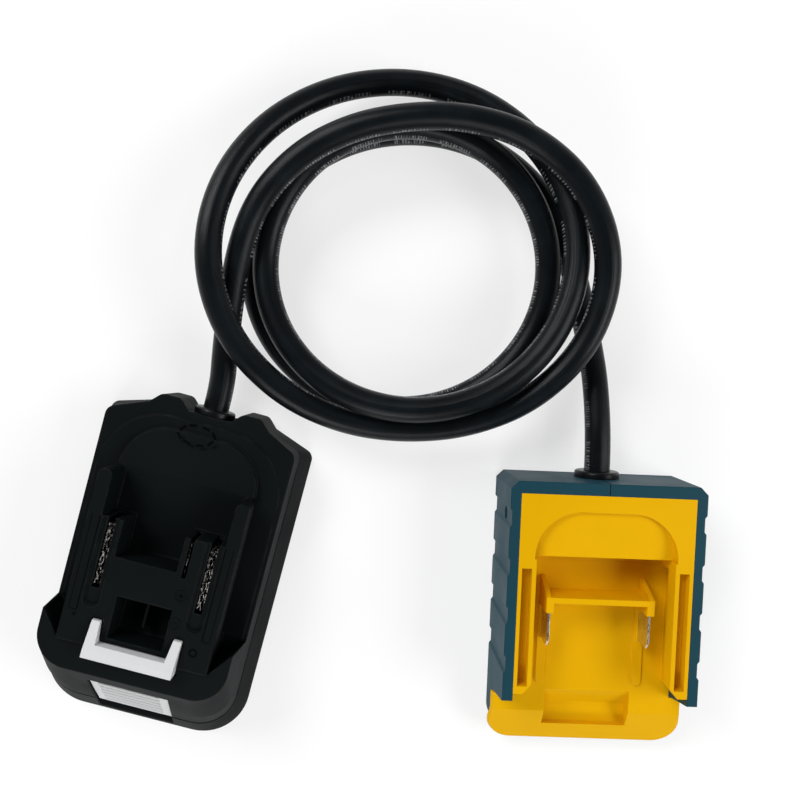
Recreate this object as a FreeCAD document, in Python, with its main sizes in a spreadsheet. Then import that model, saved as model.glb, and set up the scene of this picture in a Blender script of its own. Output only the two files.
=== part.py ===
"""Battery extension cable: a dummy slide pack with a sprung latch, a slide receiver, and a coiled cable between them.

All lengths are millimetres. Each housing is drawn in its own frame: x across, y towards the cable exit, z up from
the surface that it rests on. plug_place and receiver_place then set it down beside the coil.
"""
import FreeCAD, Part
import math
import os
import Sketcher
from FreeCAD import Placement, Rotation, Vector

doc = FreeCAD.newDocument("BatteryExtensionCable")

# Driving sizes, one alias each
SIZES = {
    # cable
    "cable_diameter": 9.8,
    "core_diameter": 3.4,
    "core_spacing": 4.2,
    "bore_clearance": 0.2,
    # where the housings lie
    "plug_x": -74.95,
    "plug_y": 1.7,
    "plug_yaw": -15.1,
    "receiver_x": 87.35,
    "receiver_y": -44.6,
    "receiver_yaw": -2.3,
    # shared by both slide interfaces
    "mating_shift": 16.8,
    "blade_room": 0.8,
    "fit_gap": 0.3,
    "blade_spacing": 37.6,
    "slide_opening": 51.0,
    "groove_opening": 57.5,
    "lip_underside": 25.0,
    "slide_depth": 17.5,
    # receiver shells
    "receiver_flare": 1.0,
    "rim_front": 1.0,
    "rim_front_slope": 4.0,
    "rim_rear": 4.5,
    "rear_space_top": 24.0,
    "lip_overhang": 1.4,
    "base_seam": 8.0,
    "base_screw_x": 26.5,
    "base_screw_front": 12.0,
    "base_screw_rear": 46.0,
    "side_screw_y": 68.2,
    "side_screw_head": 4.6,
    "side_screw_seat": 16.0,
    "side_screw_tip": 7.0,
    "rim_width": 72.0,
    "rim_length": 82.0,
    "receiver_height": 32.0,
    "rim_wall": 3.9,
    "rim_chamfer": 2.8,
    "shell_floor": 2.4,
    "rear_wall": 2.5,
    "panel_step": 0.75,
    "panel_pitch": 17.9,
    "panel_recess": 6.0,
    "panel_slope": 1.0,
    "first_recess": 14.5,
    "side_screw_hole": 5.0,
    "side_screw_height": 20.0,
    "seam_boss": 9.0,
    # slide plate
    "slab_underside": 25.5,
    "arch_shoulder": 0.5,
    "rail_tip_side": 3.6,
    "rail_tip_slant": 3.0,
    "front_lip_edge": 5.5,
    "pocket_wall": 2.0,
    "plate_floor": 2.0,
    "ramp_edge": 54.0,
    "ramp_drop": 4.0,
    "arch_top": 71.3,
    "arch_width": 52.4,
    "arch_radius": 17.0,
    "arch_drop": 1.2,
    "groove_length": 50.0,
    "rail_channel_width": 3.6,
    "rail_channel_depth": 4.5,
    "rail_channel_start": 6.5,
    "rail_strip": 1.6,
    "rail_tip": 7.3,
    "front_lip_width": 79.2,
    "front_lip_length": 24.0,
    "front_lip_crease": 10.0,
    "front_lip_height": 7.0,
    "front_lip_corner": 11.0,
    "front_lip_flare": 3.0,
    "pocket_width": 33.0,
    "pocket_near": 1.4,
    "pocket_foot": 8.5,
    "pocket_far": 16.4,
    "pocket_depth": 6.0,
    "floor_rib_width": 3.6,
    "floor_rib_height": 0.8,
    "floor_rib_tip": 1.4,
    # terminal block and blades
    "blade_root": 32.5,
    "blade_rear": 37.0,
    "blade_top": 26.0,
    "prong_half": 1.4,
    "lead_height": 10.0,
    "bridge_y": 36.1,
    "bridge_thickness": 2.2,
    "bridge_height": 13.0,
    "gusset_reach": 5.5,
    "gusset_thickness": 1.8,
    "blade_thickness": 0.8,
    "blade_length": 13.2,
    "blade_tail": 7.5,
    "blade_chamfer": 2.2,
    # plug shells
    "rear_round": 4.0,
    "bump_round": 3.0,
    "ledge_y": 26.0,
    "screw_seat": 4.0,
    "bump_screw_y": 61.0,
    "front_screw_x": 29.0,
    "front_screw_y": 38.0,
    "boss_wall": 1.5,
    "shell_screw_length": 12.0,
    "latch_space_half": 23.0,
    "plug_width": 75.0,
    "base_width": 83.0,
    "shoulder_width": 73.0,
    "parting_level": 10.0,
    "shoulder_level": 20.0,
    "plug_wall": 2.2,
    "rear_corner": 56.0,
    "rear_middle": 62.0,
    "bump_reach": 66.0,
    "bump_offset": 15.6,
    "bump_width": 7.0,
    "exit_offset": 1.5,
    "front_base": 65.5,
    "front_parting": 57.5,
    "front_shoulder": 50.0,
    "front_top": 36.5,
    "front_level": 36.0,
    "front_width": 69.6,
    "front_start": 17.0,
    "front_corner": 12.0,
    "parting_corner": 15.0,
    "base_corner": 19.0,
    "ring_step": 0.6,
    "ring_width": 70.0,
    "ring_top": 58.7,
    "ring_radius": 24.0,
    "dome_step": 3.0,
    # plateau
    "rail_round": 2.2,
    "bay_wall": 1.7,
    "chamber_front": 7.0,
    "well_rib": 0.8,
    "well_rib_gap": 4.2,
    "carrier_front": 5.0,
    "carrier_screw_x": 6.0,
    "carrier_screw_y": 13.0,
    "screw_seat_depth": 4.5,
    "leaf_thickness": 0.5,
    "leaf_front": 4.0,
    "leaf_root": 3.0,
    "tail_thickness": 0.8,
    "tail_width": 5.0,
    "contact_tail": 5.0,
    "flange_depth": 9.5,
    "flange_clearance": 1.25,
    "neck_clearance": 1.0,
    "rail_rear": 37.0,
    "rail_front": 16.0,
    "rail_width": 5.0,
    "block_rear": 20.6,
    "middle_rear": 7.5,
    "bay_left": 14.5,
    "bay_right": 8.0,
    "strip_width": 5.8,
    "strip_front": 12.0,
    "strip_round": 2.2,
    "slot_width": 2.8,
    "slot_front": 5.4,
    "signal_x": 10.8,
    "signal_width": 1.6,
    "signal_front": 6.0,
    "well_width": 20.0,
    "well_rear": 6.0,
    "well_front": 21.5,
    "well_depth": 12.0,
    # latch
    "latch_gap": 0.5,
    "plate_thickness": 3.0,
    "latch_plate_half": 19.5,
    "latch_plate_front": 33.6,
    "stem_level": 14.0,
    "button_recess": 1.0,
    "spring_pin": 3.4,
    "spring_pin_height": 3.0,
    "hook_width": 32.6,
    "hook_front": 28.8,
    "hook_bar": 5.1,
    "hook_rear": 16.0,
    "prong_width": 3.8,
    "prong_tip": 3.0,
    "hook_height": 4.0,
    "carrier_thickness": 3.0,
    "stem_width": 18.0,
    "stem_thickness": 3.0,
    "button_width": 29.5,
    "button_low": 7.5,
    "button_high": 29.5,
    "button_wall": 2.6,
    "spring_diameter": 5.6,
    "spring_wire": 0.7,
    "spring_foot": 14.0,
    "spring_x": 15.0,
    "spring_y": 28.6,
    # glands, clamps and screws
    "plug_flange": 15.6,
    "receiver_flange": 17.0,
    "clamp_ear": 2.4,
    "tail_overhang": 0.7,
    "core_drop": 2.3,
    "receiver_clamp_setback": 16.5,
    "plug_exit": 11.0,
    "receiver_exit": 13.0,
    "gland_flange_thickness": 2.6,
    "gland_neck": 12.6,
    "gland_inner": 15.6,
    "gland_inner_thickness": 2.0,
    "gland_round": 1.0,
    "clamp_width": 27.0,
    "clamp_length": 6.0,
    "clamp_setback": 10.0,
    "clamp_screw_spacing": 19.0,
    "screw_shank": 2.8,
    "screw_head": 5.6,
    "screw_head_height": 2.0,
    "screw_length": 9.0,
    "boss_diameter": 7.0,
}

PANEL_RECESSES = 4
SPRING_TURNS = 7
COIL_TURNS = 3.5
COIL_CENTRE = (16.4, 117.7)

# The coil at every quarter turn, clockwise from the left: reach from its centre, and height of the cable's middle
COIL_QUARTERS = [
    (62.0, 21.5), (51.0, 29.0), (74.5, 26.5), (61.0, 14.5),
    (71.5, 29.5), (71.5, 8.5), (63.5, 24.0), (53.5, 24.5),
    (53.5, 15.0), (52.5, 17.5), (55.0, 12.5), (54.0, 6.0),
    (59.5, 5.5), (53.5, 5.5), (65.5, 5.5),
]
# A quarter arc is this much longer than its chord
ARC_OVER_CHORD = 1.11
COIL_START = (0.22, 1.0, 0.25)
COIL_FINISH = (0.25, -1.0, 0.0)

# The free stretches between the housings and the coil, and how far each runs straight at its ends
STRETCH_RUN = 10.0
PLUG_STRETCH = [(-52.6, 85.2, 13.6)]
RECEIVER_STRETCH = [(90.4, 83.2, 6.5), (91.3, 67.2, 10.0)]


class Size(float):
    """A number that remembers the sheet formula that it came from."""

    def __new__(cls, value, formula):
        made = float.__new__(cls, value)
        made.formula = formula
        return made

    def __add__(self, other):
        return Size(float(self) + float(other), f"({self.formula} + {formula_of(other)})")

    def __radd__(self, other):
        return Size(float(other) + float(self), f"({formula_of(other)} + {self.formula})")

    def __sub__(self, other):
        return Size(float(self) - float(other), f"({self.formula} - {formula_of(other)})")

    def __rsub__(self, other):
        return Size(float(other) - float(self), f"({formula_of(other)} - {self.formula})")

    def __mul__(self, other):
        return Size(float(self) * float(other), f"({self.formula} * {formula_of(other)})")

    def __rmul__(self, other):
        return Size(float(other) * float(self), f"({formula_of(other)} * {self.formula})")

    def __truediv__(self, other):
        return Size(float(self) / float(other), f"({self.formula} / {formula_of(other)})")

    def __neg__(self):
        return Size(-float(self), f"(0 - {self.formula})")


def formula_of(value):
    """The sheet formula of a Size, or the plain number."""
    return value.formula if isinstance(value, Size) else f"{float(value):.6f}"


def make_sheet():
    """Writes the driving sizes to the spreadsheet and returns them as Size values."""
    sheet = doc.addObject("Spreadsheet::Sheet", "Sizes")
    values = {}
    for row, (alias, value) in enumerate(SIZES.items(), 1):
        sheet.set(f"A{row}", alias)
        sheet.set(f"B{row}", str(value))
        sheet.setAlias(f"B{row}", alias)
        values[alias] = Size(value, f"Sizes.{alias}")
    doc.recompute()
    return values


class Sizes:
    """Every driving size by its alias."""

    def __init__(self, values):
        self.__dict__.update(values)


size = Sizes(make_sheet())
PARTS = {}


def bind(thing, name, value):
    """Ties a property to the sheet."""
    thing.setExpression(name, formula_of(value))


def box(name, across, along, up):
    """A block between two values on each axis."""
    block = doc.addObject("Part::Box", name)
    for extent, axis, (low, high) in (("Length", "x", across), ("Width", "y", along), ("Height", "z", up)):
        bind(block, extent, high - low)
        bind(block, f"Placement.Base.{axis}", low)
    return block


AXES = {"x": Vector(1, 0, 0), "y": Vector(0, 1, 0), "z": Vector(0, 0, 1)}


def rod(name, diameter, axis, start, length):
    """A cylinder from a start point along an axis."""
    cylinder = doc.addObject("Part::Cylinder", name)
    bind(cylinder, "Radius", diameter / 2)
    bind(cylinder, "Height", length)
    cylinder.Placement = Placement(Vector(), Rotation(Vector(0, 0, 1), AXES[axis]))
    for letter, value in zip("xyz", start):
        bind(cylinder, f"Placement.Base.{letter}", value)
    return cylinder


# Which way a sketch on each plane looks, and which axis its level is measured on
PLANES = {
    "top": (Rotation(), "z"),
    "side": (Rotation(Vector(0, 1, 0), Vector(0, 0, 1), Vector(1, 0, 0), "ZXY"), "x"),
    "front": (Rotation(Vector(1, 0, 0), Vector(0, 0, 1), Vector(0, -1, 0), "ZXY"), "y"),
}


def outline(name, plane, corners, level=0.0):
    """A closed sketch through corners (first, second) or (first, second, radius), each tied to the sheet."""
    sketch = doc.addObject("Sketcher::SketchObject", name)
    turned, letter = PLANES[plane]
    sketch.Placement = Placement(Vector(), turned)
    bind(sketch, f"Placement.Base.{letter}", level)
    count = len(corners)
    points = [Vector(float(corner[0]), float(corner[1]), 0) for corner in corners]
    radii = [corner[2] if len(corner) > 2 else None for corner in corners]
    arrive, leave = [], []
    for i in range(count):
        before = (points[i - 1] - points[i]).normalize()
        after = (points[(i + 1) % count] - points[i]).normalize()
        setback = 0.0
        if radii[i] is not None:
            setback = float(radii[i]) / math.tan(before.getAngle(after) / 2)
        arrive.append(points[i] + before * setback)
        leave.append(points[i] + after * setback)
    lines = [
        sketch.addGeometry(Part.LineSegment(leave[i], arrive[(i + 1) % count])) for i in range(count)
    ]
    rules = []
    for i in range(count):
        before, after = lines[i - 1], lines[i]
        if radii[i] is None:
            sketch.addConstraint(Sketcher.Constraint("Coincident", before, 2, after, 1))
            corner, end = after, 1
        else:
            inward = (points[i - 1] - points[i]).normalize() + (points[(i + 1) % count] - points[i]).normalize()
            half = (points[i - 1] - points[i]).getAngle(points[(i + 1) % count] - points[i]) / 2
            centre = points[i] + inward.normalize() * (float(radii[i]) / math.sin(half))
            middle = centre - inward.normalize() * float(radii[i])
            arc = sketch.addGeometry(Part.Arc(arrive[i], middle, leave[i]))
            starts_first = (sketch.Geometry[arc].StartPoint - arrive[i]).Length < 1e-6
            first, last = (1, 2) if starts_first else (2, 1)
            sketch.addConstraint(Sketcher.Constraint("Tangent", before, 2, arc, first))
            sketch.addConstraint(Sketcher.Constraint("Tangent", arc, last, after, 1))
            rules.append((sketch.addConstraint(Sketcher.Constraint("Radius", arc, float(radii[i]))), radii[i]))
            corner, end = sketch.addGeometry(Part.Point(points[i]), True), 1
            sketch.addConstraint(Sketcher.Constraint("PointOnObject", corner, 1, before))
            sketch.addConstraint(Sketcher.Constraint("PointOnObject", corner, 1, after))
        for kind, value in (("DistanceX", corners[i][0]), ("DistanceY", corners[i][1])):
            rule = sketch.addConstraint(Sketcher.Constraint(kind, -1, 1, corner, end, float(value)))
            rules.append((rule, value))
    for rule, value in rules:
        if isinstance(value, Size):
            bind(sketch, f"Constraints[{rule}]", value)
    return sketch


def prism(name, plane, corners, low, high):
    """An outline pushed from one level to another."""
    sketch = outline(f"{name}_outline", plane, corners, low)
    solid = doc.addObject("Part::Extrusion", name)
    solid.Base = sketch
    solid.DirMode = "Custom"
    solid.Dir = AXES[PLANES[plane][1]]
    solid.Solid = True
    bind(solid, "LengthFwd", high - low)
    return solid


def loft(name, sections):
    """A ruled solid through outlines at their own levels: pairs of level and corners, all seen from above."""
    solid = doc.addObject("Part::Loft", name)
    solid.Sections = [
        outline(f"{name}_outline_{i}", "top", corners, level) for i, (level, corners) in enumerate(sections)
    ]
    solid.Solid = True
    solid.Ruled = True
    return solid


def spun(name, corners, axis, at):
    """A solid of revolution about a line along y or z through a point; corners are (radius, distance)."""
    plane = {"y": "top", "z": "front"}[axis]
    sketch = outline(f"{name}_outline", plane, corners)
    solid = doc.addObject("Part::Revolution", name)
    solid.Source = sketch
    solid.Axis = AXES[axis]
    solid.Angle = 360
    solid.Solid = True
    for letter, value in zip("xyz", at):
        bind(solid, f"Placement.Base.{letter}", value)
    return solid


def fuse(name, *solids):
    """Solids joined to one."""
    joined = doc.addObject("Part::MultiFuse", name)
    joined.Shapes = list(solids)
    joined.Refine = True
    return joined


def cut(name, base, *tools):
    """A solid less one or more tools."""
    tool = tools[0] if len(tools) == 1 else fuse(f"{name}_tools", *tools)
    left = doc.addObject("Part::Cut", name)
    left.Base = base
    left.Tool = tool
    left.Refine = True
    return left


def common(name, first, second):
    """What two solids share."""
    shared = doc.addObject("Part::Common", name)
    shared.Base = first
    shared.Tool = second
    return shared


def group(name, *solids):
    """Separate solids kept as one sub-part."""
    compound = doc.addObject("Part::Compound", name)
    compound.Links = list(solids)
    return compound


def mirrored(name, solid):
    """The same solid on the other side of the housing's middle."""
    other = doc.addObject("Part::Mirroring", name)
    other.Source = solid
    other.Normal = Vector(1, 0, 0)
    return other


def both_sides(name, solid):
    """A solid and its mirror image."""
    return [solid, mirrored(name, solid)]


def settle(node, solid, unit):
    """Names a finished sub-part and sets it down with its housing."""
    solid.Label = node
    solid.Placement = Placement(Vector(), Rotation(Vector(0, 0, 1), 0))
    x, y, yaw = {
        "plug": (size.plug_x, size.plug_y, size.plug_yaw),
        "receiver": (size.receiver_x, size.receiver_y, size.receiver_yaw),
    }[unit]
    bind(solid, "Placement.Base.x", x)
    bind(solid, "Placement.Base.y", y)
    bind(solid, "Placement.Rotation.Angle", yaw)
    PARTS[node] = solid


def plug_place():
    return Placement(Vector(size.plug_x, size.plug_y, 0), Rotation(Vector(0, 0, 1), float(size.plug_yaw)))


def receiver_place():
    turned = Rotation(Vector(0, 0, 1), float(size.receiver_yaw))
    return Placement(Vector(size.receiver_x, size.receiver_y, 0), turned)


# Levels that both housings share
plateau_level = size.shoulder_level + size.slide_depth - size.fit_gap
deck_level = size.shoulder_level + size.dome_step
neck_half = size.slide_opening / 2 - size.neck_clearance
flange_half = size.groove_opening / 2 - size.flange_clearance
blade_x = size.blade_spacing / 2
floor_level = size.receiver_height - size.slide_depth
plate_half = size.rim_width / 2 - size.rim_wall


def gland(node, flange_diameter, at, wall, unit):
    """A turned rubber gland: flange outside the wall, neck through it, and a smaller flange inside."""
    outer = size.gland_flange_thickness
    inner = wall + size.gland_inner_thickness
    body = spun(f"{node}_turned", [
        (0.0, -inner),
        (size.gland_inner / 2, -inner),
        (size.gland_inner / 2, -wall),
        (size.gland_neck / 2, -wall),
        (size.gland_neck / 2, 0.0),
        (flange_diameter / 2, 0.0),
        (flange_diameter / 2, outer, size.gland_round),
        (0.0, outer),
    ], "y", at)
    x, y, z = at
    bore = rod(f"{node}_bore", size.cable_diameter, "y", (x, y - inner - 1.0, z), inner + outer + 2.0)
    settle(node, cut(f"{node}_cut", body, bore), unit)


def clamp_levels(height):
    """Where a cable clamp's ears stop, and the top of its hump."""
    return height + size.clamp_ear, height + size.cable_diameter / 2 + size.clamp_ear / 2


def saddle(name, x, y, height, floor):
    """A block under the cable with its half bore and two screw holes."""
    half = size.clamp_width / 2
    block = box(f"{name}_block", (x - half, x + half), (y, y + size.clamp_length), (floor, height))
    bore = rod(f"{name}_bore", size.cable_diameter, "y", (x, y - 1.0, height), size.clamp_length + 2.0)
    ear, hump = clamp_levels(height)
    holes = [
        rod(f"{name}_hole_{i}", size.screw_shank, "z", (x + side * size.clamp_screw_spacing / 2,
            y + size.clamp_length / 2, ear - size.screw_length), size.screw_length)
        for i, side in enumerate((-1, 1))
    ]
    return block, bore, holes


def clamp(node, x, y, height, unit):
    """The bar that holds the cable down on its saddle."""
    ear, hump = clamp_levels(height)
    half = size.clamp_width / 2
    crown = size.cable_diameter / 2 + size.clamp_ear / 2
    bar = prism(f"{node}_bar", "front", [
        (x - half, height),
        (x + half, height),
        (x + half, ear),
        (x + crown, ear),
        (x + crown, hump),
        (x - crown, hump),
        (x - crown, ear),
        (x - half, ear),
    ], y, y + size.clamp_length)
    bore = rod(f"{node}_bore", size.cable_diameter, "y", (x, y - 1.0, height), size.clamp_length + 2.0)
    holes = [
        rod(f"{node}_hole_{i}", size.screw_shank, "z", (x + side * size.clamp_screw_spacing / 2,
            y + size.clamp_length / 2, height - 1.0), size.clamp_ear + 2.0)
        for i, side in enumerate((-1, 1))
    ]
    settle(node, cut(f"{node}_cut", bar, bore, *holes), unit)


def screw(name, head, head_height, shank, length, axis, seat, way=1):
    """A pan-head screw: its head lies below the seat and its shank runs from the seat along the axis."""
    x, y, z = seat
    if axis == "x":
        return fuse(
            name,
            rod(f"{name}_head", head, "x", (x - head_height, y, z), head_height),
            rod(f"{name}_shank", shank, "x", (x, y, z), length),
        )
    low = z - head_height if way > 0 else z
    start = z if way > 0 else z - length
    return fuse(
        name,
        rod(f"{name}_head", head, "z", (x, y, low), head_height),
        rod(f"{name}_shank", shank, "z", (x, y, start), length),
    )


def clamp_screws(node, x, y, height, unit):
    """Two screws down through the clamp's ears into the saddle."""
    ear, hump = clamp_levels(height)
    made = [
        screw(f"{node}_{i}", size.screw_head, size.screw_head_height, size.screw_shank, size.screw_length, "z",
              (x + side * size.clamp_screw_spacing / 2, y + size.clamp_length / 2, ear), -1)
        for i, side in enumerate((-1, 1))
    ]
    settle(node, group(f"{node}_pair", *made), unit)


def route(points):
    """Straight runs joined by tangent arcs, each as large as its two runs allow; returns the wire and the radii."""
    points = [Vector(*(float(value) for value in point)) for point in points]
    edges, radii, start = [], [], points[0]
    for before, corner, after in zip(points, points[1:], points[2:]):
        back = before - corner
        ahead = after - corner
        turn = math.pi - back.getAngle(ahead)
        setback = 0.45 * min(back.Length, ahead.Length)
        radius = setback / math.tan(turn / 2)
        back.normalize()
        ahead.normalize()
        enter = corner + back * setback
        leave = corner + ahead * setback
        inward = (back + ahead).normalize()
        middle = corner + inward * (radius / math.cos(turn / 2) - radius)
        edges.append(Part.LineSegment(start, enter).toShape())
        edges.append(Part.Arc(enter, middle, leave).toShape())
        radii.append(radius)
        start = leave
    edges.append(Part.LineSegment(start, points[-1]).toShape())
    return Part.Wire(edges), radii


def tube(wire, diameter):
    """A solid round tube along a wire."""
    edge = wire.Edges[0]
    section = Part.Wire([Part.makeCircle(
        float(diameter) / 2, edge.valueAt(edge.FirstParameter), edge.tangentAt(edge.FirstParameter)
    )])
    return wire.makePipeShell([section], True, False)


def tube_part(node, wire, diameter, placement=None):
    """Keeps a tube as a sub-part and compares its volume with section times length."""
    shape = tube(wire, diameter)
    expected = math.pi * float(diameter) ** 2 / 4 * wire.Length
    if abs(shape.Volume / expected - 1) > 0.01:
        raise RuntimeError(f"{node}: volume {shape.Volume:.0f}, section times length {expected:.0f}")
    solid = doc.addObject("Part::Feature", node)
    solid.Shape = shape
    solid.Label = node
    solid.Placement = placement or Placement()
    PARTS[node] = solid


def lead(node, start, end, placement):
    """A core from the cable's end to its terminal, both ends square to what they meet, in a housing's frame."""
    (x0, y0, z0), (x1, y1, z1) = start, end
    step = (y0 - y1) / 3
    wire, radii = route([(x0, y0, z0), (x0, y0 - step, z0), (x1, y1 + step, z1), (x1, y1, z1)])
    tube_part(node, wire, size.core_diameter, placement)


# Plug: outlines from above

def plug_outline(half, front, corner):
    """The outer edge without the bumps: round front corners, and a rear that draws in towards the cable."""
    reach = size.bump_offset + size.bump_width / 2 + size.bump_reach - size.rear_middle
    return [
        (half, -front, corner),
        (half, size.rear_corner, size.rear_round),
        (size.exit_offset + reach, size.rear_middle),
        (size.exit_offset - reach, size.rear_middle),
        (-half, size.rear_corner, size.rear_round),
        (-half, -front, corner),
    ]


def bumps(name, low, high):
    """The two bumps beside the cable, each over a shell screw."""
    rise = size.bump_reach - size.rear_middle
    half = size.bump_width / 2
    made = []
    for i, x in enumerate((size.exit_offset + size.bump_offset, size.exit_offset - size.bump_offset)):
        made.append(prism(f"{name}_{i}", "top", [
            (x + half + 2 * rise, size.rear_middle - rise),
            (x + half, size.bump_reach, size.bump_round),
            (x - half, size.bump_reach, size.bump_round),
            (x - half - 2 * rise, size.rear_middle - rise),
        ], low, high))
    return made


def plug_inside(half, front, corner):
    """The inner edge, one wall inside the outer one and straight behind the bumps."""
    wall = size.plug_wall
    rise = size.bump_reach - size.rear_middle
    reach = size.bump_offset + size.bump_width / 2 + rise - wall
    inner = corner - wall
    return [
        (half - wall, wall - front, inner),
        (half - wall, size.rear_corner - wall),
        (size.exit_offset + reach, size.rear_middle - wall),
        (size.exit_offset - reach, size.rear_middle - wall),
        (wall - half, size.rear_corner - wall),
        (wall - half, wall - front, inner),
    ]


def arch(half, low, top, radius):
    """A round-shouldered arch from above."""
    return [(half, low), (half, top, radius), (-half, top, radius), (-half, low)]


shell_top = size.shoulder_level - size.ring_step
inner_top = shell_top - size.plug_wall
plug_floor = size.plug_wall
plug_half = size.plug_width / 2
base_half = size.base_width / 2
shoulder_half = size.shoulder_width / 2
base_slope = (size.base_width - size.plug_width) / 2 * size.plug_wall / size.parting_level
front_slope = (size.front_base - size.front_parting) * size.plug_wall / size.parting_level
block_front = size.ledge_y
plug_clamp_y = size.rear_middle - size.plug_wall - size.clamp_setback - size.clamp_length
plug_gland_at = (size.exit_offset, size.rear_middle, size.plug_exit)

# Four screws hold the plug's shells together: two under the bumps and two near the front
shell_screw_places = [
    (size.exit_offset + size.bump_offset, size.bump_screw_y),
    (size.exit_offset - size.bump_offset, size.bump_screw_y),
    (size.front_screw_x, -size.front_screw_y),
    (-size.front_screw_x, -size.front_screw_y),
]


def button_hole(name, low, high):
    """The way through the front wall for the push-button."""
    half = size.button_width / 2 + size.latch_gap
    return box(name, (-half, half), (-size.front_base - 2.0, -size.front_top + size.button_wall), (low, high))


def gland_hole(name, at, wall):
    """The neck's hole in a rear wall."""
    x, y, z = at
    return rod(name, size.gland_neck, "y", (x, y - wall - 1.0, z), wall + 2.0)


def make_plug_bottom():
    """The lower shell: floor, flared walls, cable saddle, screw bosses and the posts under the latch's springs."""
    outer = loft("bottom_outside", [
        (0.0, plug_outline(base_half, size.front_base, size.base_corner)),
        (size.parting_level, plug_outline(plug_half, size.front_parting, size.parting_corner)),
    ])
    cavity = loft("bottom_inside", [
        (plug_floor, plug_inside(base_half - base_slope, size.front_base - front_slope, size.base_corner)),
        (size.parting_level, plug_inside(plug_half, size.front_parting, size.parting_corner)),
    ])
    whole = fuse("bottom_outer", outer, *bumps("bottom_bump", 0.0, size.parting_level))
    open_shell = cut("bottom_hollow", whole, cavity)
    block, bore, holes = saddle("bottom_saddle", size.exit_offset, plug_clamp_y, size.plug_exit, plug_floor)
    boss = size.screw_head + 2 * size.boss_wall
    bosses = [
        rod(f"bottom_boss_{i}", boss, "z", (x, y, plug_floor / 2), size.parting_level - plug_floor / 2)
        for i, (x, y) in enumerate(shell_screw_places)
    ]
    posts = [
        rod(f"bottom_post_{i}", size.boss_diameter, "z",
            (side * size.spring_x, -size.spring_y, plug_floor / 2), size.spring_foot - plug_floor / 2)
        for i, side in enumerate((-1, 1))
    ]
    pins = [
        rod(f"bottom_pin_{i}", size.spring_pin, "z",
            (side * size.spring_x, -size.spring_y, size.spring_foot - 1.0), size.spring_pin_height + 1.0)
        for i, side in enumerate((-1, 1))
    ]
    solid = fuse("bottom_solid", open_shell, block, *bosses, *posts, *pins)
    wells = [
        rod(f"bottom_well_{i}", size.screw_head + 2 * size.bore_clearance, "z", (x, y, -1.0), size.screw_seat + 1.0)
        for i, (x, y) in enumerate(shell_screw_places)
    ]
    shanks = [
        rod(f"bottom_shank_{i}", size.screw_shank, "z", (x, y, 0.0), size.parting_level + 1.0)
        for i, (x, y) in enumerate(shell_screw_places)
    ]
    notch = button_hole("bottom_notch", plug_floor, size.parting_level + 1.0)
    hole = gland_hole("bottom_gland_hole", plug_gland_at, size.plug_wall)
    settle("plug_bottom_shell", cut("bottom_shell", solid, bore, *holes, *wells, *shanks, notch, hole), "plug")


def hook_outline(gap):
    """The latch hook from above: a bar with two prongs, grown by a gap."""
    half = size.hook_width / 2 + gap
    front = -size.hook_front - gap
    bar = size.hook_bar - size.hook_front + gap
    root = size.hook_width / 2 - size.prong_width - gap
    end = size.hook_width / 2 - size.prong_tip - gap
    tip = -size.hook_rear + gap
    return [
        (half, front), (half, tip), (end, tip), (root, bar), (-root, bar), (-end, tip), (-half, tip), (-half, front)
    ]


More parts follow.
